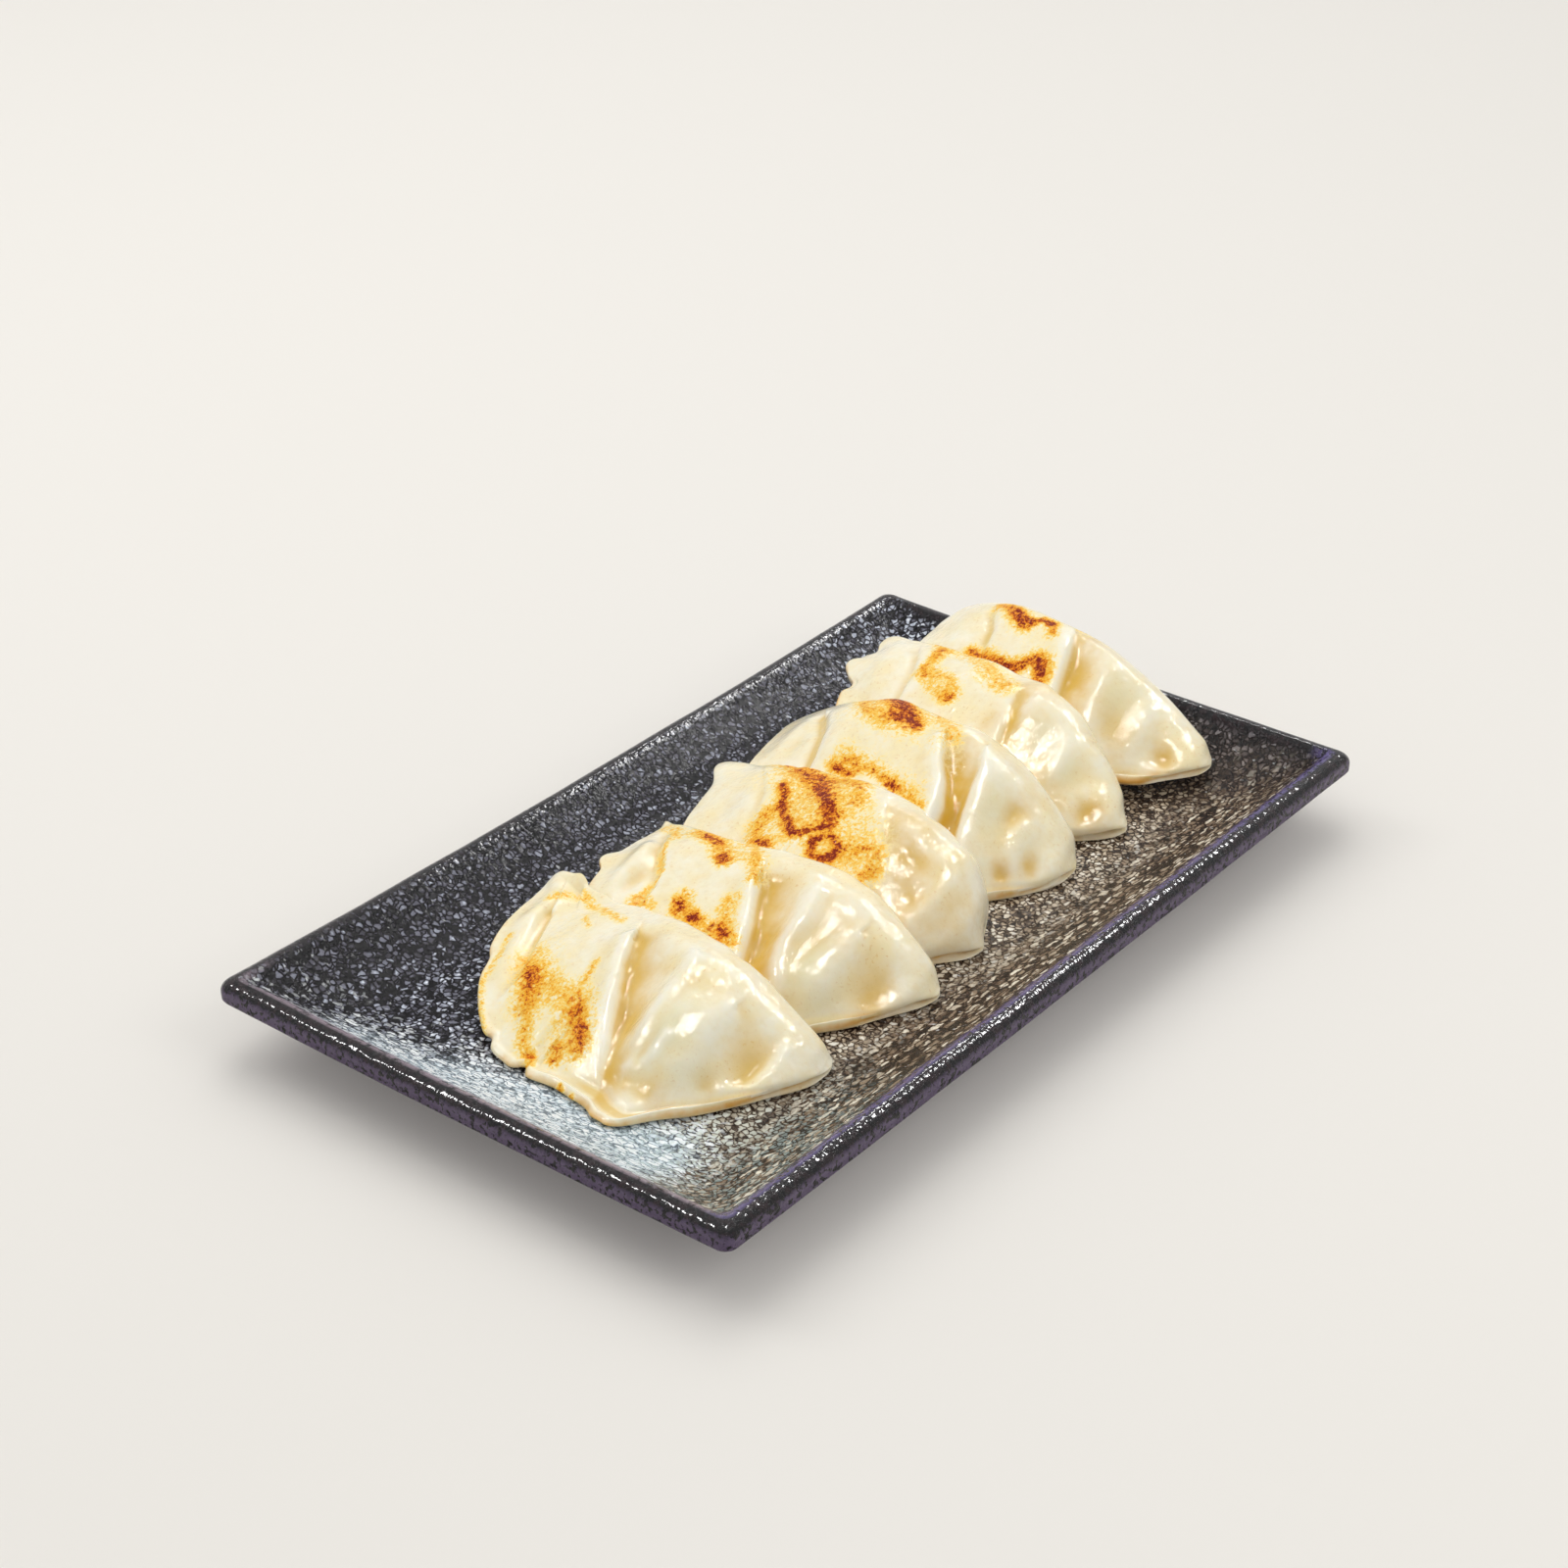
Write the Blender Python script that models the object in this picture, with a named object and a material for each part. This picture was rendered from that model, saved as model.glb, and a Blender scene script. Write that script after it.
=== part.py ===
"""Six pan-fried gyoza leaning on one another along a rectangular glazed plate."""
import bpy
import bmesh
import math
import numpy as np
from mathutils import Vector
from mathutils.bvhtree import BVHTree

MM = 0.001

# Plate, in millimetres
PLATE_LENGTH = 217.8
PLATE_WIDTH = 127.6
CORNER_RADIUS = 2.6
WELL_TOP = 8.0          # upper face of the flat floor of the plate
RIM_TOP = 17.6
RIM_SAG = 0.55          # the edges hang this far below the corners
FAR_SAG = 1.6           # the far long edge hangs lower still in its middle
LIP_DEPTH = 5.2         # from the top of the edge down to the underside
LIP_ROUND = 2.6         # rounding of the outer edge
LIP_TOP_WIDTH = 3.4
SLOPE_WIDTH = 24.0      # from the outer edge to the flat floor
SLOPE_POWER = 1.8
SLOPE_RINGS = 6
FOOT_INSET = 24.0
FOOT_WIDTH = 3.5
FOOT_HEIGHT = 2.4
PLATE_THICKNESS = 5.2
CORNER_SEGMENTS = 5
LONG_SEGMENTS = 6
SHORT_SEGMENTS = 4

# Dumplings, in millimetres
WRAP_EDGE = 2.8         # height of the pressed rim of the wrapper
TIP_EDGE = 1.4
TIP_BLUNT = 0.018        # share of the half length that the right tip is cut back, so that it ends blunt
REST_GAP = 0.45         # kept between a dumpling and what it lies on
LEAN_GAP = 1.0          # kept between a dumpling and the next one
MIN_BODY = 2.4          # thinnest part where one dumpling lies on another
RIDGE_AT = 0.13         # place of the ridge across the half moon
SEGMENTS_AROUND = 24
SEGMENTS_ALONG = 28

# One entry per dumpling, from the near end of the plate.
# tip_r and tip_l: the two corners (x, y, height over the floor) from the plate's near corner.
# depth: ridge to sealed arc. arc, ridge: roundness to the left and right. swell: bulge past the tips.
# back: how far the ridge bows backwards. dips: hollows in the ridge (place, depth, width).
# fold, crease: both ends of the browned panel's right and left edge (along, across).
# step: height of the panel over the wing. lobes: waves of the arc (place, size, width).
# end: how far the dough runs past the right tip (reach, place across, width).
# pulls: corners drawn out of the wrapper (place, half sizes, shift along, across and up).
DUMPLINGS = [
    dict(name="gyoza_1", tip_r=(63.0, 24.5, 1.8), tip_l=(70.8, 102.3, 7.1), depth=45.8, arc=(1.88, 2.5),
         height=16.3, ridge=(1.9, 2.7), back=(1.2, -0.4), swell=(1.02, 1.05),
         fold=((-9, 7), (15, 42)), crease=((-27, 12), (-18, 42)), step=1.9,
         dips=((-27, 2.9, 8), (-12, 2.2, 10), (19, -1.0, 6)),
         lobes=((22, 4.0, 4.5), (7, -2.1, 7)),
         end=(2.1, 9, 8), pulls=(((-35.8, -1.2), (5, 4.5), (-1.6, -1.2, 2.2)),)),
    dict(name="gyoza_2", tip_r=(95.6, 24.5, 1.9), tip_l=(101.1, 98.1, 8.8), depth=46.5, arc=(2.47, 2.3),
         height=18.8, ridge=(1.9, 2.95), back=(-1.2, 2.5), swell=(1.0, 1.06),
         fold=((-1, 9), (19, 40)), crease=((-31, 6), (-18, 36)), step=1.9,
         dips=((-11, 2.0, 9), (2, 1.6, 8), (13, 0.8, 6)),
         lobes=((12, 1.6, 5), (30, -2.2, 4)),
         end=(2.4, 4, 10), pulls=(((-36.5, 18.8), (4, 4), (-2.2, 0.3, 0.0)),)),
    dict(name="gyoza_3", tip_r=(114.3, 27.7, 1.9), tip_l=(129.2, 101.1, 7.9), depth=44.8, arc=(1.62, 2.28),
         height=19.9, ridge=(1.9, 6.0), back=(5.8, 8.5), swell=(1.06, 1.08),
         fold=((14, 2), (26, 36)), crease=((-23, 4), (-9, 30)), step=0.7,
         dips=((-10, 1.7, 8), (24, 0.8, 3), (30, -0.8, 3)),
         lobes=((10, 1.4, 5), (31, -1.5, 7)),
         end=(2.4, 5, 7), pulls=(((-38, 2), (5, 5), (-3.2, 0.0, 0.4)),)),
    dict(name="gyoza_4", tip_r=(152.5, 29.0, 1.7), tip_l=(157.7, 105.5, 7.1), depth=46.0, arc=(2.18, 2.28),
         height=21.4, ridge=(2.4, 2.8), back=(4.4, 5.5), swell=(1.0, 1.05),
         fold=((8, 9), (30, 40)), crease=((-28, 8), (-16, 36)), step=2.2,
         dips=((-13, -0.8, 8), (-1, 1.2, 6)),
         lobes=((14, 1.5, 5), (31, -1.4, 7)),
         end=(3.0, 10.5, 9), pulls=(((-39, 4), (4, 5), (-1.2, 0.0, 0.0)),)),
    dict(name="gyoza_5", tip_r=(173.3, 31.9, 1.8), tip_l=(191.6, 108.1, 11.7), depth=44.2, arc=(1.5, 2.13),
         height=21.0, ridge=(2.4, 2.8), back=(2.7, 6.5), swell=(1.0, 1.1),
         fold=((8, 3), (28, 36)), crease=((-21, 6), (-8, 30)), step=0.9,
         dips=((-12, 1.4, 8), (2, 1.8, 7)),
         lobes=((12, 1.4, 5), (31, -1.8, 7)),
         end=(3.0, 6, 9), pulls=(((-36, 12.8), (4, 4), (-2.6, 0.0, 0.0)), ((-37, -1), (4, 4), (-0.9, -0.6, 0.6)))),
    dict(name="gyoza_6", tip_r=(203.8, 27.8, 5.1), tip_l=(213.6, 102.6, 12.5), depth=46.1, arc=(1.92, 2.42),
         height=23.4, ridge=(3.6, 1.9), back=(1.9, 2.0), swell=(1.0, 1.05),
         fold=((1, 8), (24, 38)), crease=((-18, 8), (-8, 34)), step=1.6,
         dips=((-29, 0.6, 8), (-12, -0.3, 9)),
         lobes=((12, 1.4, 5), (28, -10.0, 6.5)),
         end=(3.0, 6.5, 7.5), pulls=(((-38, 3), (5, 6), (-0.5, 0.0, 0.2)),)),
]


def soft(value):
    """Smooth 0 to 1."""
    v = np.clip(value, 0.0, 1.0)
    return v * v * (3.0 - 2.0 * v)


def beside(s, t, line):
    """Distance to the right of a line on the face, and the place along it from 0 to 1."""
    (s0, t0), (s1, t1) = line
    length = math.hypot(s1 - s0, t1 - t0)
    es = (s1 - s0) / length
    et = (t1 - t0) / length
    off = (s - s0) * et - (t - t0) * es
    along = ((s - s0) * es + (t - t0) * et) / length
    return off, along


def face_relief(g, s, t):
    """Height added to the upper face: the raised panel, its fold, and the full wings beside it."""
    off_r, along_r = beside(s, t, g["fold"])
    off_l, along_l = beside(s, t, g["crease"])
    panel = 0.5 * (1.0 - np.tanh(off_r / 0.9)) * 0.5 * (1.0 + np.tanh(off_l / 2.0))
    fade = soft(along_r / 0.25) * soft((1.12 - along_r) / 0.2)
    lip = 0.45 * np.exp(-((off_r + 1.6) / 1.4) ** 2)
    valley = 0.75 * np.exp(-((off_r - 2.2) / 2.6) ** 2)
    wing = 0.7 * np.exp(-((off_r - 14.0) / 7.0) ** 2) * soft((38.0 - s) / 14.0)
    cut = 0.6 * np.exp(-(off_l / 2.0) ** 2) * soft(along_l / 0.2)
    return g["step"] * (fade * (0.55 * panel + lip - valley) + 0.5 * wing - cut)


def dumpling_plan(g, sigma, turn):
    """Place of a surface point seen from above, and everything its height depends on."""
    tip_r = np.array(g["tip_r"])
    tip_l = np.array(g["tip_l"])
    span = (tip_r - tip_l)[:2]
    half = np.linalg.norm(span) / 2.0
    along = span / (2.0 * half)
    across = np.array([along[1], -along[0]])
    left = sigma < 0.0
    power = np.where(left, g["arc"][0], g["arc"][1])
    ridge_power = np.where(left, g["ridge"][0], g["ridge"][1])
    size = np.abs(sigma)
    front = g["depth"] * np.clip(1.0 - size ** power, 0.0, 1.0) ** (1.0 / power)
    for place, amount, width in g["lobes"]:
        front = front + amount * np.exp(-((half * sigma - place) / width) ** 2)
    full = np.clip(1.0 - size ** ridge_power, 0.0, 1.0)
    bow = g["back"][0] + (g["back"][1] - g["back"][0]) * soft(sigma / 1.2 + 0.5)
    rear = -bow * full ** (1.0 / np.minimum(ridge_power, 2.5))
    share = np.abs(turn) / math.pi
    tau = 1.0 - (0.35 * (1.0 - np.cos(math.pi * share)) / 2.0 + 0.65 * share)
    t = rear + (front - rear) * tau
    swell = (g["swell"][1] - 1.0) * soft((sigma - 0.45) / 0.55)
    swell = swell + (g["swell"][0] - 1.0) * soft((-sigma - 0.45) / 0.55)
    blunt = TIP_BLUNT * soft((sigma - 0.93) / 0.07)
    s = half * (sigma - blunt) * (1.0 + swell * np.sin(math.pi * tau))
    reach, place, width = g["end"]
    s = s + reach * np.exp(-((t - place) / width) ** 2) * soft((sigma - 0.6) / 0.4)
    rise = np.zeros(np.shape(s))
    for (cs, ct), (ws, wt), (ds, dt, dz) in g["pulls"]:
        near = np.exp(-(((s - cs) / ws) ** 2 + ((t - ct) / wt) ** 2) ** 1.5)
        s = s + ds * near
        t = t + dt * near
        rise = rise + dz * near
    centre = (tip_r + tip_l)[:2] / 2.0
    x = centre[0] + along[0] * s + across[0] * t
    y = centre[1] + along[1] * s + across[1] * t
    return x, y, s, t, tau, front - rear, full, half, rise


def dumpling_height(g, sigma, turn, plan, support):
    """Height over the plate's floor of a surface point: top sheet where turn is above 0."""
    x, y, s, t, tau, width, full, half, rise = plan
    lift = rise + (g["tip_l"][2] - TIP_EDGE) * soft((-sigma - 0.1) / 0.9)
    lift = lift + (g["tip_r"][2] - TIP_EDGE) * soft((sigma - 0.1) / 0.9)
    crest = lift + WRAP_EDGE + (g["height"] - WRAP_EDGE) * full * np.clip(1.0 - lift / g["height"], 0.0, 1.0)
    for place, amount, wide in g["dips"]:
        crest = crest - amount * np.exp(-((half * sigma - place) / wide) ** 2)
    rim = np.where(sigma > 0.0, 0.92, 0.95)
    climb = np.clip((rim - tau) / (rim - RIDGE_AT), 0.0, 1.0)
    rise = 0.45 * climb + 0.55 * np.sin(math.pi / 2.0 * climb)
    top = lift + WRAP_EDGE + (crest - lift - WRAP_EDGE) * rise
    room = soft(climb * 3.0) * soft((1.0 - np.abs(sigma)) * 5.0)
    top = top + face_relief(g, s, t) * room
    hollow = 0.36 * crest * np.clip((0.55 - tau) / 0.55, 0.0, 1.0) ** 1.3 * np.clip(1.0 - sigma ** 4, 0.0, 1.0)
    bottom = np.maximum(lift + hollow, support)
    top = np.maximum(top, bottom + np.minimum(MIN_BODY, WRAP_EDGE - REST_GAP))
    middle = (top + bottom) / 2.0
    thick = (top - bottom) / 2.0
    edge_f = np.clip((1.0 - tau) * width / 1.6, 0.0, 1.0)
    edge_b = np.clip(tau * width / (0.9 * np.maximum(thick, 1.4)), 0.0, 1.0)
    close = np.sqrt(1.0 - (1.0 - edge_f) ** 2) * np.sqrt(1.0 - (1.0 - edge_b) ** 2)
    close = close * np.clip((1.0 - np.abs(sigma)) * half / 0.8, 0.0, 1.0) ** 0.5
    return middle + np.where(turn > 0.0, thick, -thick) * close


def rounded_ring(inset, height, radius, sag):
    """Points of one ring of the plate, anticlockwise, in metres."""
    hx = PLATE_LENGTH / 2.0 - inset
    hy = PLATE_WIDTH / 2.0 - inset
    r = min(radius, hx, hy)
    points = []
    corners = ((1, 1, 0.0), (-1, 1, 90.0), (-1, -1, 180.0), (1, -1, 270.0))
    for index, (sx, sy, start) in enumerate(corners):
        for step in range(CORNER_SEGMENTS + 1):
            angle = math.radians(start + 90.0 * step / CORNER_SEGMENTS)
            px = sx * (hx - r) + r * math.cos(angle)
            py = sy * (hy - r) + r * math.sin(angle)
            points.append((px, py))
        nsx, nsy, nstart = corners[(index + 1) % 4]
        end = points[-1]
        angle = math.radians(nstart)
        target = (nsx * (hx - r) + r * math.cos(angle), nsy * (hy - r) + r * math.sin(angle))
        pieces = LONG_SEGMENTS if index % 2 == 0 else SHORT_SEGMENTS
        for step in range(1, pieces):
            k = step / pieces
            points.append((end[0] + (target[0] - end[0]) * k, end[1] + (target[1] - end[1]) * k))
    ring = []
    for px, py in points:
        far = 1.0 + (FAR_SAG / RIM_SAG - 1.0) * max(py / hy, 0.0) ** 4
        middle_x = (1.0 - (px / hx) ** 2) * far
        middle_y = 1.0 - (py / hy) ** 2
        drop = sag * max(middle_x, middle_y, 0.0)
        ring.append(Vector((px * MM, py * MM, (height - drop) * MM)))
    return ring


def plate_rings():
    """Rings of the plate from the hollow under the foot, out over the edge and down to the floor."""
    under = WELL_TOP - PLATE_THICKNESS
    lip_low = RIM_TOP - LIP_DEPTH
    round_45 = LIP_ROUND * (1.0 - math.sqrt(0.5))
    rings = [
        (FOOT_INSET + FOOT_WIDTH + 1.2, under, 6.0, 0.0),
        (FOOT_INSET + FOOT_WIDTH, 0.0, 6.0, 0.0),
        (FOOT_INSET, 0.0, 7.0, 0.0),
        (FOOT_INSET - 1.2, FOOT_HEIGHT, 7.0, 0.0),
        (14.0, FOOT_HEIGHT + 2.6, 7.0, 0.0),
        (6.5, lip_low - 2.8, 5.0, 0.2),
        (1.6, lip_low, 3.0, 0.7),
        (0.5, lip_low + 0.2, CORNER_RADIUS, 0.8),
        (0.0, lip_low + 0.9, CORNER_RADIUS, 0.9),
        (0.0, RIM_TOP - LIP_ROUND, CORNER_RADIUS, 1.0),
        (round_45, RIM_TOP - round_45, CORNER_RADIUS, 1.0),
        (LIP_ROUND, RIM_TOP, 2.2, 1.0),
        (LIP_TOP_WIDTH, RIM_TOP - 0.1, 2.0, 1.0),
    ]
    for step in range(1, SLOPE_RINGS + 1):
        k = step / SLOPE_RINGS
        inset = LIP_TOP_WIDTH + (SLOPE_WIDTH - LIP_TOP_WIDTH) * k
        height = WELL_TOP + (RIM_TOP - 0.1 - WELL_TOP) * (1.0 - k) ** SLOPE_POWER
        rings.append((inset, height, 2.0 + 3.2 * k, (1.0 - k) ** SLOPE_POWER))
    return rings


def new_object(name, bm, collection, colour, roughness):
    """Mesh object with smooth shading and a material of its own."""
    mesh = bpy.data.meshes.new(name)
    bmesh.ops.recalc_face_normals(bm, faces=bm.faces)
    if bm.calc_volume(signed=True) < 0.0:
        bmesh.ops.reverse_faces(bm, faces=bm.faces)
    for face in bm.faces:
        face.smooth = True
    bm.to_mesh(mesh)
    material = bpy.data.materials.new(name)
    material.use_nodes = True
    shader = material.node_tree.nodes["Principled BSDF"]
    shader.inputs["Base Color"].default_value = (*colour, 1.0)
    shader.inputs["Roughness"].default_value = roughness
    mesh.materials.append(material)
    obj = bpy.data.objects.new(name, mesh)
    collection.objects.link(obj)
    return obj


def build_plate(collection):
    """Loft the rings: one face is extruded from ring to ring."""
    bm = bmesh.new()
    rings = plate_rings()
    first = rounded_ring(rings[0][0], rings[0][1], rings[0][2], rings[0][3] * RIM_SAG)
    bmesh.ops.create_circle(bm, cap_ends=True, segments=len(first), radius=1.0)
    bm.verts.ensure_lookup_table()
    loop = list(bm.verts)
    loop.sort(key=lambda v: math.atan2(v.co.y, v.co.x) % (2.0 * math.pi))
    for vert, co in zip(loop, first):
        vert.co = co
    bm.faces.ensure_lookup_table()
    cap = bm.faces[0]
    base_kept = False
    for inset, height, radius, sag in rings[1:]:
        points = rounded_ring(inset, height, radius, sag * RIM_SAG)
        old = {v.co.copy().freeze(): i for i, v in enumerate(loop)}
        out = bmesh.ops.extrude_face_region(bm, geom=[cap], use_keep_orig=True)
        fresh = [item for item in out["geom"] if isinstance(item, bmesh.types.BMVert)]
        if not base_kept:
            base_kept = True
        else:
            bmesh.ops.delete(bm, geom=[cap], context="FACES_ONLY")
        cap = [item for item in out["geom"] if isinstance(item, bmesh.types.BMFace)][0]
        order = [None] * len(points)
        for vert in fresh:
            order[old[vert.co.copy().freeze()]] = vert
        for vert, co in zip(order, points):
            vert.co = co
        loop = order
    return new_object("plate", bm, collection, (0.03, 0.03, 0.035), 0.3), bm


def drop_height(trees, x, y):
    """Height over the floor of whatever lies under a point of the plan."""
    best = 0.0
    start = Vector(((x - PLATE_LENGTH / 2.0) * MM, (y - PLATE_WIDTH / 2.0) * MM, 0.2))
    for tree, gap in trees:
        hit = tree.ray_cast(start, Vector((0.0, 0.0, -1.0)))[0]
        if hit is not None:
            best = max(best, hit.z / MM - WELL_TOP + gap)
    return best


def support_under(trees, x, y, reach):
    """Highest support within reach of each point, so that flat facets keep clear of it too."""
    result = np.zeros(len(x))
    for index in range(len(x)):
        best = drop_height(trees, x[index], y[index])
        for step in range(8):
            angle = math.radians(45.0 * step)
            px = x[index] + reach * math.cos(angle)
            py = y[index] + reach * math.sin(angle)
            best = max(best, drop_height(trees, px, py))
        result[index] = best
    return result


def build_dumpling(g, trees, collection):
    """Shape a sphere whose poles are the two tips into one filled half moon."""
    bm = bmesh.new()
    bmesh.ops.create_uvsphere(bm, u_segments=SEGMENTS_AROUND, v_segments=SEGMENTS_ALONG, radius=1.0)
    co = np.array([v.co[:] for v in bm.verts])
    sigma = np.clip(co[:, 2], -1.0, 1.0)
    turn = np.arctan2(co[:, 1], co[:, 0])
    turn = np.where(np.abs(turn) < 1e-6, 1e-9, turn)
    plan = dumpling_plan(g, sigma, turn)
    support = support_under(trees, plan[0], plan[1], 2.0)
    height = dumpling_height(g, sigma, turn, plan, support)
    for index, vert in enumerate(bm.verts):
        px = plan[0][index] - PLATE_LENGTH / 2.0
        py = plan[1][index] - PLATE_WIDTH / 2.0
        vert.co = (px * MM, py * MM, (height[index] + WELL_TOP) * MM)
    return new_object(g["name"], bm, collection, (0.86, 0.76, 0.56), 0.35), bm


for obj in list(bpy.data.objects):
    bpy.data.objects.remove(obj, do_unlink=True)

gyoza_plate = bpy.data.collections.new("gyoza_on_plate")
bpy.context.scene.collection.children.link(gyoza_plate)

plate, plate_mesh = build_plate(gyoza_plate)
plate_tree = BVHTree.FromBMesh(plate_mesh)
plate_mesh.free()

leaned_on = None
for entry in reversed(DUMPLINGS):
    under = [(plate_tree, REST_GAP)]
    if leaned_on is not None:
        under.append((leaned_on, LEAN_GAP))
    dumpling, dumpling_mesh = build_dumpling(entry, under, gyoza_plate)
    leaned_on = BVHTree.FromBMesh(dumpling_mesh)
    dumpling_mesh.free()
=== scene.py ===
# %% [markdown]
# # Gyoza on a rectangular plate
# Pan-fried dumplings lie in a row, each leaning on the next, along a dark glazed plate.
# The solids of the part come in first and stay where they are. Every finished piece below
# takes the place of one of them, so it uses the same measurements.

# %% Load the part
import bpy
import bmesh
import math
import numpy as np
from mathutils import Matrix, Vector, noise
from mathutils.bvhtree import BVHTree


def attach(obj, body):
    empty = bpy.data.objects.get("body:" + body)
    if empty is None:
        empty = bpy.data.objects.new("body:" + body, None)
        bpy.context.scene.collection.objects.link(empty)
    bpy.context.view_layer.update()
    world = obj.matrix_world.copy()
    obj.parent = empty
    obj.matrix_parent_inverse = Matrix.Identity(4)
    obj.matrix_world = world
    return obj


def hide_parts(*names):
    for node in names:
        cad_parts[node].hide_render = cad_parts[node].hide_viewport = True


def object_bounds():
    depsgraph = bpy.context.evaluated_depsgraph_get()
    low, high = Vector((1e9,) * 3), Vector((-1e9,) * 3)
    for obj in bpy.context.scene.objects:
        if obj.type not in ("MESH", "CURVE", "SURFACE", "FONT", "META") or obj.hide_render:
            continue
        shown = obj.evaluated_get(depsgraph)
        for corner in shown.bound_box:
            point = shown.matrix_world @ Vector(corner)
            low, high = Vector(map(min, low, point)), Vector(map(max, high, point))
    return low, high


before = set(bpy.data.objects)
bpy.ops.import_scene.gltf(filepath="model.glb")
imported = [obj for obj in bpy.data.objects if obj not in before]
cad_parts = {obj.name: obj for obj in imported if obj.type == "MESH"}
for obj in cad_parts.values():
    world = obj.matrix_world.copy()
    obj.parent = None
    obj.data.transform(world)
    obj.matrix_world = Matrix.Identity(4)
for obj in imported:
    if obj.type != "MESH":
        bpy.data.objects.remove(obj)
cad_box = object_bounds()
MM = 0.001
print("part:", [[round(v, 4) for v in corner] for corner in cad_box])

# %% [markdown]
# ## Camera
# A long lens looks down on the near end of the plate. The place follows from a turn round the
# plate, a height angle and a distance, which is easier to read than nine matrix numbers.

# %% Camera
CAMERA_TURN = math.radians(37.93)
CAMERA_HEIGHT = math.radians(29.93)
CAMERA_ROLL = math.radians(0.37)
CAMERA_DISTANCE = 0.682
LOOK_AT = Vector((0.0198, 0.0249, 0.0173))
LENS_MM = 73.1
SENSOR_MM = 36.0


def add_object(name, data):
    """Object of its own in the scene, at the origin."""
    obj = bpy.data.objects.new(name, data)
    bpy.context.scene.collection.objects.link(obj)
    return obj


def add_camera():
    """Camera from its angles: the three axes of its matrix are right, up and back."""
    flat = math.cos(CAMERA_HEIGHT)
    back = Vector((-flat * math.cos(CAMERA_TURN), -flat * math.sin(CAMERA_TURN), math.sin(CAMERA_HEIGHT)))
    level = (-back).cross(Vector((0.0, 0.0, 1.0))).normalized()
    upward = level.cross(-back)
    right = math.cos(CAMERA_ROLL) * level + math.sin(CAMERA_ROLL) * upward
    up = math.cos(CAMERA_ROLL) * upward - math.sin(CAMERA_ROLL) * level
    data = bpy.data.cameras.new("camera")
    data.lens = LENS_MM
    data.sensor_width = SENSOR_MM
    data.clip_start = 0.01
    obj = add_object("camera", data)
    place = Matrix((right, up, back)).transposed().to_4x4()
    place.translation = LOOK_AT + back * CAMERA_DISTANCE
    obj.matrix_world = place
    bpy.context.scene.camera = obj
    return obj


camera = add_camera()
print("camera at", [round(v, 3) for v in camera.location])

# %% [markdown]
# ## Floor and light
# A plain pale floor in an even studio. Four wide boxes fill the object with soft light and leave
# no highlight, so the shadows stay soft. Four small lamps only make highlights, so the glints on
# the wet dough and on the lip stay crisp.

# %% Floor and light
FLOOR_COLOUR = (0.755, 0.725, 0.672)
FLOOR_HALF = 6.0
FLOOR_GLOW = 0.12
SKY_COLOUR = (0.97, 0.98, 1.0, 1.0)
SKY_STRENGTH = 0.62
# Name, place, the point it faces, size in metres, watts, and what the lamp makes.
LAMPS = [
    ("overhead fill", (0.15, 0.25, 1.1), (0, 0, 0), (0.7, 0.7), 2.2, "fill"),
    ("left fill", (-0.25, 0.75, 0.80), (0, 0, 0), (0.4, 0.4), 1.6, "fill"),
    ("front fill", (0.05, -0.60, 0.55), (0, 0, 0), (0.4, 0.4), 0.85, "fill"),
    ("far fill", (0.75, 0.62, 1.2), (0.6, 0.5, 0.0), (0.9, 0.9), 4.0, "fill"),
    ("overhead glint", (0.02, 0.02, 0.90), (0, 0, 0), (0.16, 0.16), 4.6, "glint"),
    ("behind glint", (0.66, 0.36, 0.66), (0.0, 0.0, 0.02), (0.10, 0.10), 0.9, "glint"),
    ("left glint", (-0.44, 0.53, 0.72), (-0.05, 0.0, 0.02), (0.13, 0.13), 3.4, "glint"),
    ("right glint", (0.68, -0.10, 0.70), (0.0, -0.03, 0.02), (0.30, 0.06), 3.2, "glint"),
]


def floor_material():
    """Matt floor with a faint glow, which keeps it pale to the edge of the view."""
    material = bpy.data.materials.new("floor")
    material.use_nodes = True
    shader = material.node_tree.nodes["Principled BSDF"]
    shader.inputs["Base Color"].default_value = (*FLOOR_COLOUR, 1.0)
    shader.inputs["Roughness"].default_value = 0.9
    shader.inputs["Specular IOR Level"].default_value = 0.1
    shader.inputs["Emission Color"].default_value = (*FLOOR_COLOUR, 1.0)
    shader.inputs["Emission Strength"].default_value = FLOOR_GLOW
    return material


def add_floor():
    """Square floor under the plate's foot."""
    bm = bmesh.new()
    bmesh.ops.create_grid(bm, x_segments=2, y_segments=2, size=FLOOR_HALF)
    mesh = bpy.data.meshes.new("floor")
    bm.to_mesh(mesh)
    bm.free()
    mesh.materials.append(floor_material())
    return add_object("floor", mesh)


def add_lamp(name, place, aim, size, watts, makes):
    """Rectangular lamp that faces a point and makes either fill light or glints."""
    data = bpy.data.lights.new(name, "AREA")
    data.shape = "RECTANGLE"
    data.size = size[0]
    data.size_y = size[1]
    data.energy = watts
    obj = add_object(name, data)
    obj.location = place
    obj.rotation_euler = (Vector(aim) - Vector(place)).to_track_quat("-Z", "Y").to_euler()
    obj.visible_glossy = makes == "glint"
    obj.visible_diffuse = makes == "fill"


bpy.context.scene.view_settings.view_transform = "Standard"
bpy.context.scene.view_settings.look = "None"
add_floor()
world = bpy.data.worlds.new("studio")
world.use_nodes = True
sky = world.node_tree.nodes["Background"]
sky.inputs["Color"].default_value = SKY_COLOUR
sky.inputs["Strength"].default_value = SKY_STRENGTH
bpy.context.scene.world = world
for lamp in LAMPS:
    add_lamp(*lamp)
print("lamps:", len(LAMPS))

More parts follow.
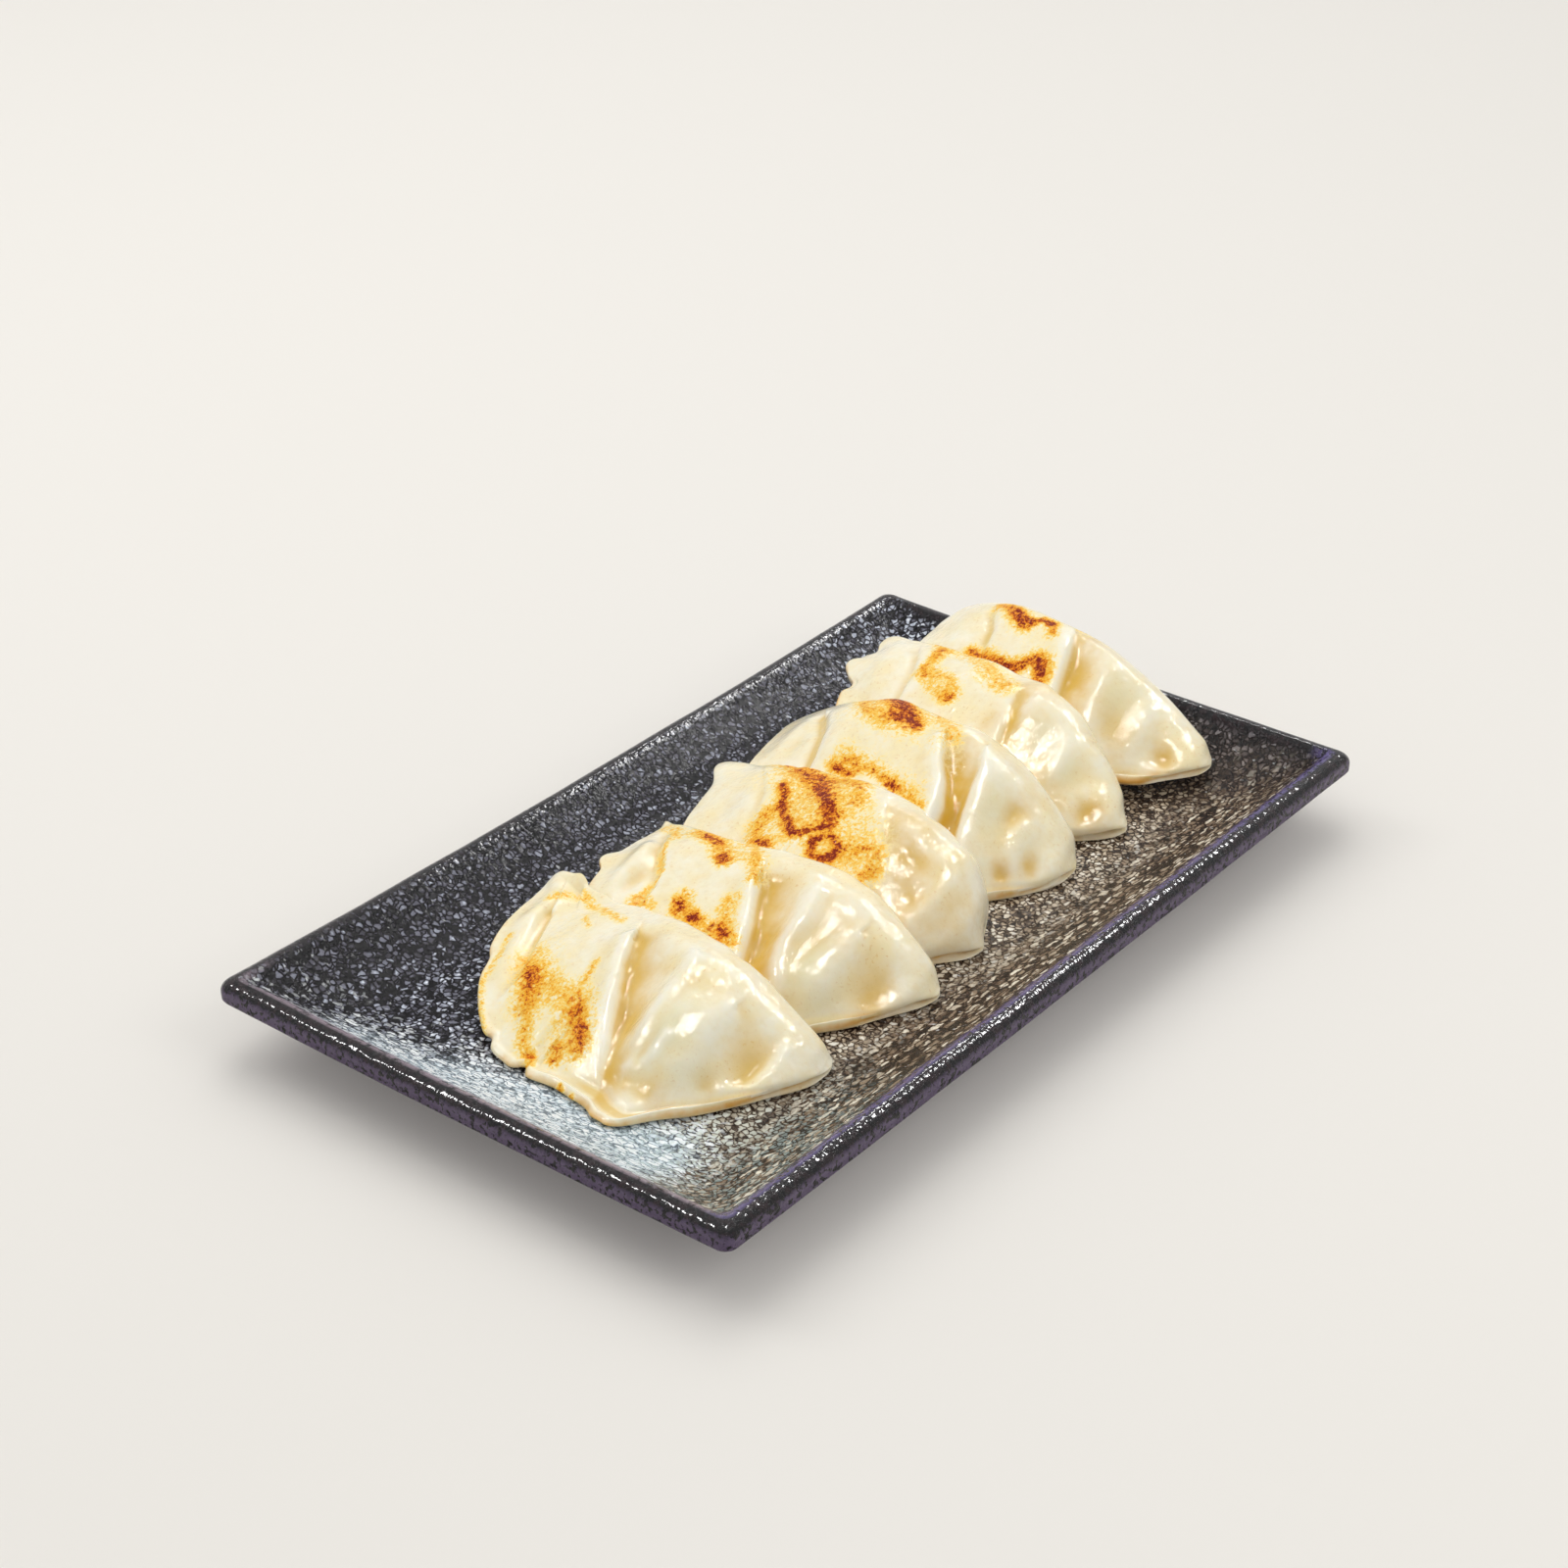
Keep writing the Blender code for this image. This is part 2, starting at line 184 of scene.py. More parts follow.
# %% [markdown]
# ## Plate shape
# The plate is pressed stoneware: a foot ring, a slanting underside, an upright lip and a slope
# that runs down to a flat floor. One face is drawn first and then extruded from ring to ring,
# so that every ring keeps the same number of points and the walls stay closed.

# %% Plate measurements
# Millimetres. A sag is how far the middle of a side lies lower than the corners.
HALF_LENGTH = 108.9
HALF_WIDTH = 63.8
CORNER_RADIUS = 2.6
WELL_TOP = 8.0
RIM_TOP = 17.6
RIM_SAG = 0.55
FAR_SAG = 1.6
LIP_DEPTH = 5.2
LIP_ROUND = 2.6
LIP_TOP_WIDTH = 3.4
LIP_RINGS = 8
SLOPE_WIDTH = 24.0
SLOPE_POWER = 1.8
SLOPE_RINGS = 22
FLOOR_RINGS = 8
FLOOR_RING_STEP = 4.4
FOOT_INSET = 24.0
FOOT_WIDTH = 3.5
FOOT_HEIGHT = 2.4
PLATE_THICKNESS = 5.2
CORNER_SEGMENTS = 14
LONG_SEGMENTS = 70
SHORT_SEGMENTS = 42


def rounded_ring(inset, height, radius, sag):
    """Points of one ring of the plate, anticlockwise, in metres."""
    hx = HALF_LENGTH - inset
    hy = HALF_WIDTH - inset
    r = min(radius, hx, hy)
    points = []
    corners = ((1, 1, 0.0), (-1, 1, 90.0), (-1, -1, 180.0), (1, -1, 270.0))
    for index, (sx, sy, start) in enumerate(corners):
        for step in range(CORNER_SEGMENTS + 1):
            angle = math.radians(start + 90.0 * step / CORNER_SEGMENTS)
            points.append((sx * (hx - r) + r * math.cos(angle), sy * (hy - r) + r * math.sin(angle)))
        nsx, nsy, nstart = corners[(index + 1) % 4]
        end = points[-1]
        angle = math.radians(nstart)
        target = (nsx * (hx - r) + r * math.cos(angle), nsy * (hy - r) + r * math.sin(angle))
        pieces = LONG_SEGMENTS if index % 2 == 0 else SHORT_SEGMENTS
        for step in range(1, pieces):
            k = step / pieces
            points.append((end[0] + (target[0] - end[0]) * k, end[1] + (target[1] - end[1]) * k))
    ring = []
    for px, py in points:
        far = 1.0 + (FAR_SAG / RIM_SAG - 1.0) * max(py / hy, 0.0) ** 4
        drop = sag * max((1.0 - (px / hx) ** 2) * far, 1.0 - (py / hy) ** 2, 0.0)
        ring.append(Vector((px * MM, py * MM, (height - drop) * MM)))
    return ring


def lip_arc(steps):
    """Rings over the rounded lip, from the upright wall to its highest line."""
    rings = []
    for step in range(steps + 1):
        angle = math.pi / 2.0 * step / steps
        inset = LIP_ROUND * (1.0 - math.cos(angle))
        height = RIM_TOP - LIP_ROUND * (1.0 - math.sin(angle))
        rings.append((inset, height, CORNER_RADIUS - 0.4 * step / steps, 1.0))
    return rings


def plate_rings():
    """Rings from under the foot, over the lip, to the floor: inset, height, corner radius, sag."""
    under = WELL_TOP - PLATE_THICKNESS
    lip_low = RIM_TOP - LIP_DEPTH
    rings = [
        (FOOT_INSET + FOOT_WIDTH + 2.2, under, 6.0, 0.0),
        (FOOT_INSET + FOOT_WIDTH + 1.2, under - 0.1, 6.0, 0.0),
        (FOOT_INSET + FOOT_WIDTH + 0.4, 0.3, 6.0, 0.0),
        (FOOT_INSET + FOOT_WIDTH, 0.0, 6.0, 0.0),
        (FOOT_INSET, 0.0, 7.0, 0.0),
        (FOOT_INSET - 0.4, 0.3, 7.0, 0.0),
        (FOOT_INSET - 1.2, FOOT_HEIGHT, 7.0, 0.0),
        (FOOT_INSET - 2.4, FOOT_HEIGHT + 0.4, 7.0, 0.0),
        (14.0, FOOT_HEIGHT + 2.6, 7.0, 0.0),
        (6.5, lip_low - 2.8, 5.0, 0.2),
        (2.6, lip_low - 0.6, 3.4, 0.6),
        (1.6, lip_low - 0.05, 3.0, 0.7),
        (0.9, lip_low + 0.1, CORNER_RADIUS, 0.75),
        (0.35, lip_low + 0.45, CORNER_RADIUS, 0.8),
        (0.05, lip_low + 1.0, CORNER_RADIUS, 0.9),
    ]
    rings += lip_arc(LIP_RINGS)
    rings.append((LIP_ROUND + 0.5, RIM_TOP - 0.03, 2.1, 1.0))
    slope_top = RIM_TOP - 0.1
    for step in range(SLOPE_RINGS + 1):
        k = step / SLOPE_RINGS
        inset = LIP_TOP_WIDTH + (SLOPE_WIDTH - LIP_TOP_WIDTH) * k
        height = WELL_TOP + (slope_top - WELL_TOP) * (1.0 - k) ** SLOPE_POWER
        rings.append((inset, height, 2.0 + 3.2 * k, (1.0 - k) ** SLOPE_POWER))
    for step in range(1, FLOOR_RINGS + 1):
        rings.append((SLOPE_WIDTH + FLOOR_RING_STEP * step, WELL_TOP, 4.0, 0.0))
    return rings


def plate_bands(rings):
    """Profile value of each ring: underside 0.2, wall 0.3, lip from 0.36, slope 0.51 to 1."""
    bands = []
    climbed = False
    for inset, height, _, _ in rings:
        climbed = climbed or height > RIM_TOP - LIP_ROUND - 0.01
        if not climbed:
            bands.append(0.2 if inset > 0.4 else 0.3)
        elif inset <= LIP_ROUND:
            bands.append(0.36 + 0.15 * inset / LIP_ROUND)
        else:
            bands.append(0.51 + 0.49 * min(1.0, (inset - LIP_ROUND) / (SLOPE_WIDTH - LIP_ROUND)))
    return bands


# %% Build the plate
SWAY_FROM = 9.0
SWAY_OVER = 6.0
SWAY_SEED = 7


def unit(value):
    """Kept between 0 and 1."""
    return np.clip(value, 0.0, 1.0)


def soft(value):
    """Smooth 0 to 1."""
    v = unit(value)
    return v * v * (3.0 - 2.0 * v)


def face_outwards(bm):
    """Turn all faces of a closed mesh to the outside."""
    bmesh.ops.recalc_face_normals(bm, faces=bm.faces)
    if bm.calc_volume(signed=True) < 0.0:
        bmesh.ops.reverse_faces(bm, faces=bm.faces)


def build_plate():
    """Extrude one face through all the rings, then let the edge wander, as fired clay does."""
    bm = bmesh.new()
    layer = bm.verts.layers.float.new("band")
    rings = plate_rings()
    bands = plate_bands(rings)
    inset, height, radius, sag = rings[0]
    first = rounded_ring(inset, height, radius, sag * RIM_SAG)
    bmesh.ops.create_circle(bm, cap_ends=True, segments=len(first), radius=1.0)
    loop = sorted(bm.verts, key=lambda v: math.atan2(v.co.y, v.co.x) % (2.0 * math.pi))
    for vert, co in zip(loop, first):
        vert.co = co
        vert[layer] = bands[0]
    bm.faces.ensure_lookup_table()
    cap = bm.faces[0]
    base_kept = False
    for (inset, height, radius, sag), band in zip(rings[1:], bands[1:]):
        points = rounded_ring(inset, height, radius, sag * RIM_SAG)
        old = {vert.co.copy().freeze(): index for index, vert in enumerate(loop)}
        out = bmesh.ops.extrude_face_region(bm, geom=[cap], use_keep_orig=True)
        if base_kept:
            bmesh.ops.delete(bm, geom=[cap], context="FACES_ONLY")
        base_kept = True
        fresh = [item for item in out["geom"] if isinstance(item, bmesh.types.BMVert)]
        cap = [item for item in out["geom"] if isinstance(item, bmesh.types.BMFace)][0]
        order = [None] * len(points)
        for vert in fresh:
            order[old[vert.co.copy().freeze()]] = vert
        for vert, co in zip(order, points):
            vert.co = co
            vert[layer] = band
        loop = order
    noise.seed_set(SWAY_SEED)
    for vert in bm.verts:
        reach = soft((vert.co.z / MM - SWAY_FROM) / SWAY_OVER)
        sway = noise.noise_vector(vert.co * 45.0) * 0.28 + noise.noise_vector(vert.co * 160.0) * 0.10
        vert.co += sway * MM * float(reach) * Vector((0.6, 0.6, 0.5))
    face_outwards(bm)
    for vert in bm.verts:
        vert.co.x = max(-HALF_LENGTH * MM, min(HALF_LENGTH * MM, vert.co.x))
        vert.co.y = max(-HALF_WIDTH * MM, min(HALF_WIDTH * MM, vert.co.y))
    return bm


def finish_piece(name, bm, material, node):
    """Mesh object at the origin that takes the place of one solid."""
    for face in bm.faces:
        face.smooth = True
    mesh = bpy.data.meshes.new(name)
    bm.to_mesh(mesh)
    mesh.materials.append(material)
    obj = add_object(name, mesh)
    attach(obj, "root")
    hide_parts(node)
    print(name, "has", len(mesh.polygons), "faces")


# %% [markdown]
# ## Dumpling shape
# A gyoza is a round of dough folded over its filling, so from above it is a half moon. The
# pan-fried side is pressed flat and lifts as a panel with a sharp fold on its right and a crease
# on its left. A sphere is the right start: its two poles become the tips, its front half the
# sealed arc and its back half the folded ridge. Every point is then placed by its share of the
# way from tip to tip and round the section.

# %% Dumpling measurements
# Millimetres. A point of the face is its place from left tip to right tip, with 0 half way, and
# its place from the ridge to the sealed arc.
WRAP_EDGE = 1.5  # thickness of the pressed rim
TIP_EDGE = 1.4  # thickness of the tips
TIP_BLUNT = 0.038  # share of the half length that the right tip is cut back
REST_GAP = 0.35  # kept between a dumpling and the plate
LEAN_GAP = 0.5  # kept between a dumpling and the neighbour that it lies on
MIN_BODY = WRAP_EDGE - REST_GAP  # thinnest dough where one dumpling lies on another
RIDGE_AT = 0.13  # where the full height is reached, as a share from ridge to arc
ARCH = 0.36  # share of the height by which the underside is arched
ARC_ROUND = 1.2
RIDGE_ROUND = 0.9
AROUND = 232
ALONG = 312
# Shares of a dumpling's own step: panel, crest and valley of its right fold, left crease, wing.
PANEL_LIFT = 0.45
FOLD_CREST = 0.45
FOLD_VALLEY = 0.75
CREASE_DEPTH = 0.60
WING_SWELL = 0.35
FOLD_END = 3.0  # millimetres over which a fold dies out past its ends
# arc, ridge: how full the outlines are, left and right. back: bow of the ridge. end: bulge of the
# right tip. step: height of the browned panel. gain: strength of folds and swells. valley:
# strength and reach of the yellowish painted shade beside the right fold. dips, lobes: waves of
# the top line and of the sealed arc. pulls: place, half sizes, shift. right, left: edges of the
# browned panel.
DUMPLINGS = [
    dict(
        name="gyoza_1", tip_r=(63, 24.5, 1.8), tip_l=(70.8, 102.3, 7.1), depth=45.8, height=16.3,
        arc=(1.88, 2.5), ridge=(1.9, 2.7), back=(1.2, -0.4), swell=(1.02, 1.05), end=(2.1, 9, 8), step=1.9,
        gain=1.5, valley=(0.58, 4.6),
        dips=((-27, 2.9, 8), (-12, 2.2, 10), (19, -1, 6)),
        lobes=((23.5, 4.6, 3.2), (19, 2, 2.5), (7, -2.1, 7), (-1.9, -2.6, 1.6), (-6, -0.6, 2.5),
            (-12.8, -1.3, 1.3), (-29.5, -1.5, 1.8), (35, -1.2, 2.5)),
        pulls=(((-35.8, -1.2), (5, 4.5), (-1.6, -1.2, 2.6)), ((-32.6, -2.5), (2.4, 3), (0.4, -0.4, 1.6))),
        right=((-5, 11), (-2, 16), (2, 21.5), (6, 26.5), (9.5, 31.5), (13, 37), (15, 41)),
        left=((-30, 10), (-25.5, 18), (-22, 24), (-19.8, 29), (-19, 34), (-17.5, 39), (-14, 43))),
    dict(
        name="gyoza_2", tip_r=(95.6, 24.5, 1.9), tip_l=(101.1, 98.1, 8.8), depth=46.5, height=18.8,
        arc=(2.47, 2.3), ridge=(1.9, 2.95), back=(-1.2, 2.5), swell=(1, 1.06), end=(2.4, 4, 10), step=1.9,
        gain=1.25, valley=(0.8, 6),
        dips=((-11, 2, 9), (2, 1.6, 8), (13, 0.8, 6)),
        lobes=((12, 1.6, 5), (-10, -1.4, 3), (30, -2.2, 4)),
        pulls=(((-36.5, 18.8), (3, 3), (-2.6, 0.3, 0)), ((-37.5, -1.5), (3, 3), (-1.2, -0.5, 0.8))),
        right=((0.5, 12), (3, 16), (6.5, 21), (9.5, 26), (12.5, 31), (16, 38)),
        left=((-31, 6), (-27.5, 12), (-22, 17), (-19, 22.5), (-18, 29), (-16, 36))),
    dict(
        name="gyoza_3", tip_r=(114.3, 27.7, 1.9), tip_l=(129.2, 101.1, 7.9), depth=44.8, height=19.9,
        arc=(1.62, 2.28), ridge=(1.9, 6), back=(5.8, 8.5), swell=(1.06, 1.08), end=(2.4, 5, 7), step=0.7,
        gain=0.8, valley=(0.5, 7),
        dips=((-10, 1.7, 8), (24, 0.8, 3), (30, -0.8, 3)),
        lobes=((10, 1.4, 5), (-12, -1.4, 3), (31, -1.5, 7)),
        pulls=(((-38, 2), (5, 5), (-3.2, 0, 0.4)),),
        right=((11, 2), (17, 9), (21, 15), (24, 24), (27, 36)),
        left=((-27, 2), (-19, 9), (-14, 16), (-11, 22), (-8, 30))),
    dict(
        name="gyoza_4", tip_r=(152.5, 29, 1.7), tip_l=(157.7, 105.5, 7.1), depth=46, height=21.4,
        arc=(2.18, 2.28), ridge=(2.4, 2.8), back=(4.4, 5.5), swell=(1, 1.05), end=(3, 10.5, 9), step=2.2,
        gain=0.8, valley=(1, 4.5),
        dips=((-13, -0.8, 8), (-1, 1.2, 6)),
        lobes=((14, 1.5, 5), (-8, -1.4, 3), (31, -1.4, 7)),
        pulls=(((-39, 4), (4, 5), (-1.2, 0, 0)),),
        right=((6, 5), (9, 9.5), (13, 13.5), (16, 18), (17.5, 22.5), (21, 30), (26, 38)),
        left=((-27, 6), (-22, 12), (-18, 20), (-14, 32))),
    dict(
        name="gyoza_5", tip_r=(173.3, 31.9, 1.8), tip_l=(191.6, 108.1, 11.7), depth=44.2, height=21,
        arc=(1.5, 2.13), ridge=(2.4, 2.8), back=(2.7, 6.5), swell=(1, 1.1), end=(3, 6, 9), step=0.9,
        gain=0.9, valley=(0.6, 6),
        dips=((-12, 1.4, 8), (2, 1.8, 7)),
        lobes=((12, 1.4, 5), (-9, -1.2, 3), (31, -1.8, 7)),
        pulls=(((-36, 12.8), (4, 3), (-3, 0, 0)), ((-31.5, 18.5), (2.5, 2), (1.6, -0.8, 0)), ((-38, 5),
            (3, 2), (1.2, 0, 0)), ((-37, -1), (4, 4), (-0.9, -0.6, 0.6))),
        right=((6, 1), (10, 6), (14, 11), (17, 17), (22, 28), (26, 36)),
        left=((-24, 3), (-18, 10), (-14, 18), (-8, 30))),
    dict(
        name="gyoza_6", tip_r=(203.8, 27.8, 5.1), tip_l=(213.6, 102.6, 12.5), depth=46.1, height=23.4,
        arc=(1.92, 2.42), ridge=(3.6, 1.9), back=(1.9, 2), swell=(1, 1.05), end=(3, 6.5, 7.5), step=1.6,
        gain=0.9, valley=(0.62, 6),
        dips=((-29, 0.6, 8), (-12, -0.3, 9)),
        lobes=((12, 1.4, 5), (-9, -1.2, 3), (28, -10, 6.5)),
        pulls=(((-38, 3), (5, 6), (-0.5, 0, 0.2)),),
        right=((1, 5), (4, 10), (6.5, 14.5), (9, 20), (14, 30), (20, 38)),
        left=((-22, 6), (-17, 12), (-14, 19), (-8, 32))),
]

# Soft folds of the wings: run of points, height, half width left and right of the run.
WRINKLES = {
    "gyoza_1": [
        (((11.5, 10), (13, 18), (13.8, 25), (14.6, 30), (16.5, 33.5)), 0.9, 2.4, 1.8),
        (((16.5, 33.5), (18.8, 33.8), (20.4, 31), (20.6, 27)), 0.6, 1.6, 1.3),
        (((25, 15), (25.6, 20), (26.5, 25), (27, 29)), 0.8, 3, 2),
        (((3, 7.5), (14, 8), (24, 7.5), (34, 5)), 0.8, 3.4, 2.8),
        (((36, 10), (35.5, 20), (31, 29), (26, 36)), 0.7, 1.6, 2.2),
        (((-34, 8), (-29, 20), (-25, 30)), 0.9, 2.2, 2.2), (((-7, 44), (-9, 40), (-13, 35)), -0.7, 1, 1.4)],
    "gyoza_2": [
        (((13, 9), (15, 16), (15.2, 21), (17, 25), (20.5, 29)), 1.1, 2.2, 2),
        (((25.5, 11), (26.3, 17), (27, 22), (27.5, 28)), 1, 3, 2),
        (((4, 4), (14, 4), (24, 5), (33, 5)), 0.7, 3, 3), (((-31, 12), (-28, 20), (-26, 28)), 1, 2.2, 2.2)],
    "gyoza_3": [
        (((12, 2.2), (20, 1.4), (29, 1.6)), 0.9, 2, 2), (((33, 3), (33.4, 8), (33, 14)), 1, 2, 1.6),
        (((20, 8), (24, 13), (26, 20)), 0.7, 2.6, 2.6), (((-27, -1), (-24, 6), (-20, 13)), 0.8, 2.6, 2.6)],
    "gyoza_4": [
        (((15, 2), (18, 7), (19.4, 12), (20.6, 16), (23.6, 22), (27, 28)), 2.6, 1, 4),
        (((20, 2.4), (28, 3.6), (36, 3.4)), 0.8, 2.2, 2), (((31, 9), (32, 13), (33, 16)), 0.7, 1.8, 1.8),
        (((-23, 3), (-19, 10), (-15, 17)), 0.8, 2.4, 2.4), (((-34, 4), (-31, 12), (-28, 20)), 0.7, 2.6, 2.6)],
    "gyoza_5": [
        (((13, 2), (16, 9), (18, 15)), 1.2, 1.4, 3.4), (((26, 2), (27.5, 6), (29, 10)), 0.8, 2.4, 2),
        (((6, -2), (18, -2.4), (30, -1)), 0.6, 2.4, 2.4), (((-32, 2), (-28, 9), (-24, 16)), 0.9, 2.8, 2.8)],
    "gyoza_6": [
        (((13, 5), (15, 13), (18, 20)), 0.8, 2.8, 2.4), (((26, 8), (28, 14), (29, 20)), 0.8, 2.8, 2),
        (((4, 3), (16, 3.4), (30, 4)), 0.6, 2.6, 2.6), (((-31, 3), (-27, 10), (-24, 17)), 0.8, 2.8, 2.8)],
}

# Swells of the filling and dents between them: place, half sizes, height.
SWELLS = {
    "gyoza_1": [
        ((20, 23), (7.5, 9), 1.6), ((3, 16), (6, 5), -0.9), ((7.5, 25), (3.2, 5.5), -0.8),
        ((33, 17), (3.6, 6), -1.7), ((31, 28), (2.4, 3), -1), ((24.5, 36.5), (5, 2.4), -1.4),
        ((13.5, 38.5), (2.6, 2.6), -1), ((20.5, 42.5), (4, 2.4), 1.3), ((-36, 2.5), (3.4, 3), 1.6)],
    "gyoza_2": [
        ((22, 22), (6, 9), 1.2), ((7, 14), (4, 5), -0.9), ((10.5, 23), (2.8, 6), -0.9),
        ((20.5, 18), (2.6, 6), -0.6), ((33.5, 13), (4, 6), -1.6), ((28, 30), (6, 3), -1),
        ((-24.5, 21), (2.2, 6), -1)],
    "gyoza_3": [
        ((28.5, 11), (3.6, 3.2), -1.6), ((23, 5.5), (4.5, 1.8), -0.6), ((-23, 14), (4, 6), -0.7)],
    "gyoza_4": [
        ((12.5, 9), (3, 5), -1), ((19, 19), (2, 5), -1.2), ((27.8, 9), (2.2, 3.4), -1.1),
        ((33, 19.5), (2.2, 2.6), -1.3), ((37, 13), (2.4, 2.8), -0.9), ((-27, 16), (3, 6), -0.9)],
    "gyoza_5": [
        ((10, 7), (2.2, 6), -0.9), ((38.5, 9.5), (2.4, 2.8), -1.5), ((33, 4), (3, 6), -0.5)],
    "gyoza_6": [
        ((8, 12), (3.4, 5), -1), ((34.5, 12.5), (2.8, 2.8), -1.5), ((22, 14), (3, 7), -0.6)],
}


def path_distance(s, t, points):
    """Distance from a run of points, positive to the right of it, and how far past its ends."""
    best = np.full(np.shape(s), 1e6)
    side = np.ones(np.shape(s))
    past = np.zeros(np.shape(s))
    for (s0, t0), (s1, t1) in zip(points[:-1], points[1:]):
        ds, dt = s1 - s0, t1 - t0
        length = math.hypot(ds, dt)
        raw = ((s - s0) * ds + (t - t0) * dt) / length ** 2
        k = unit(raw)
        away = np.hypot(s - s0 - k * ds, t - t0 - k * dt)
        nearer = away < best
        side = np.where(nearer, np.sign((s - s0) * dt - (t - t0) * ds + 1e-9), side)
        past = np.where(nearer, np.abs(raw - k) * length, past)
        best = np.minimum(best, away)
    return best * side, past


def crest(off, wide_left, wide_right):
    """Rounded crest along a run of points, with its own width to each side."""
    return np.exp(-(off / np.where(off < 0.0, wide_left, wide_right)) ** 2)


def hump(value, centre, width):
    """Smooth hump: 1 at the centre, dying away over the width."""
    return np.exp(-((value - centre) / width) ** 2)


def blob(s, t, place, size):
    """Smooth round hump on the face, with its own half size along and across."""
    return np.exp(-((s - place[0]) / size[0]) ** 2 - ((t - place[1]) / size[1]) ** 2)


def face_relief(g, s, t):
    """Height added to the upper face: panel, folds, wrinkles and dents."""
    gain = g["gain"]
    right, past_r = path_distance(s, t, g["right"])
    left, past_l = path_distance(s, t, g["left"])
    step = g["step"]
    panel = 0.5 * (1.0 - np.tanh(right / 0.45)) * 0.5 * (1.0 + np.tanh(left / 1.2))
    relief = PANEL_LIFT * step * panel
    fold = FOLD_CREST * crest(right + 1.5, 2.2, 1.1) - FOLD_VALLEY * crest(right - 2.0, 1.5, 4.2)
    relief = relief + step * hump(past_r, 0.0, FOLD_END) * fold
    relief = relief - CREASE_DEPTH * step * hump(past_l, 0.0, FOLD_END) * crest(left + 0.3, 1.8, 0.8)
    relief = relief + WING_SWELL * step * hump(right, 13.0, 7.0) * soft((38.0 - s) / 14.0)
    for points, high, wide_left, wide_right in WRINKLES[g["name"]]:
        off = path_distance(s, t, points)[0]
        relief = relief + gain * high * crest(off, 1.2 * wide_left, 1.2 * wide_right)
    for place, size, high in SWELLS[g["name"]]:
        relief = relief + gain * high * blob(s, t, place, size)
    return relief


# %% Place the points
def dumpling_plan(g, sigma, turn):
    """Place of every surface point seen from above, and everything its height depends on.

    sigma runs from -1 at the left tip to 1 at the right tip. turn goes round the section and is
    positive on the upper side.
    """
    tip_r = np.array(g["tip_r"])
    tip_l = np.array(g["tip_l"])
    span = (tip_r - tip_l)[:2]
    half = np.linalg.norm(span) / 2.0
    along = span / (2.0 * half)
    across = np.array([along[1], -along[0]])
    left = sigma < 0.0
    power = np.where(left, g["arc"][0], g["arc"][1])
    ridge_power = np.where(left, g["ridge"][0], g["ridge"][1])
    size = np.abs(sigma)
    front = g["depth"] * unit(1.0 - size ** power) ** (1.0 / power)
    for place, amount, width in g["lobes"]:
        front = front + amount * hump(half * sigma, place, width)
    full = unit(1.0 - size ** ridge_power)
    bow = g["back"][0] + (g["back"][1] - g["back"][0]) * soft(sigma / 1.2 + 0.5)
    rear = -bow * full ** (1.0 / np.minimum(ridge_power, 2.5))
    share = np.abs(turn) / math.pi
    tau = 1.0 - (0.35 * (1.0 - np.cos(math.pi * share)) / 2.0 + 0.65 * share)
    t = rear + (front - rear) * tau
    swell = (g["swell"][1] - 1.0) * soft((sigma - 0.45) / 0.55)
    swell = swell + (g["swell"][0] - 1.0) * soft((-sigma - 0.45) / 0.55)
    blunt = TIP_BLUNT * soft((sigma - 0.90) / 0.10)
    swell = swell * soft((front - rear) / 8.0)
    s = half * (sigma - blunt) * (1.0 + swell * np.sin(math.pi * tau))
    reach, place, width = g["end"]
    s = s + reach * hump(t, place, width) * soft((sigma - 0.6) / 0.4)
    rise = np.zeros(np.shape(s))
    for (cs, ct), (ws, wt), (ds, dt, dz) in g["pulls"]:
        near = np.exp(-(((s - cs) / ws) ** 2 + ((t - ct) / wt) ** 2) ** 1.5)
        s = s + ds * near
        t = t + dt * near
        rise = rise + dz * near
    centre = (tip_r + tip_l)[:2] / 2.0
    x = centre[0] + along[0] * s + across[0] * t
    y = centre[1] + along[1] * s + across[1] * t
    return x, y, s, t, tau, front - rear, full, half, rise


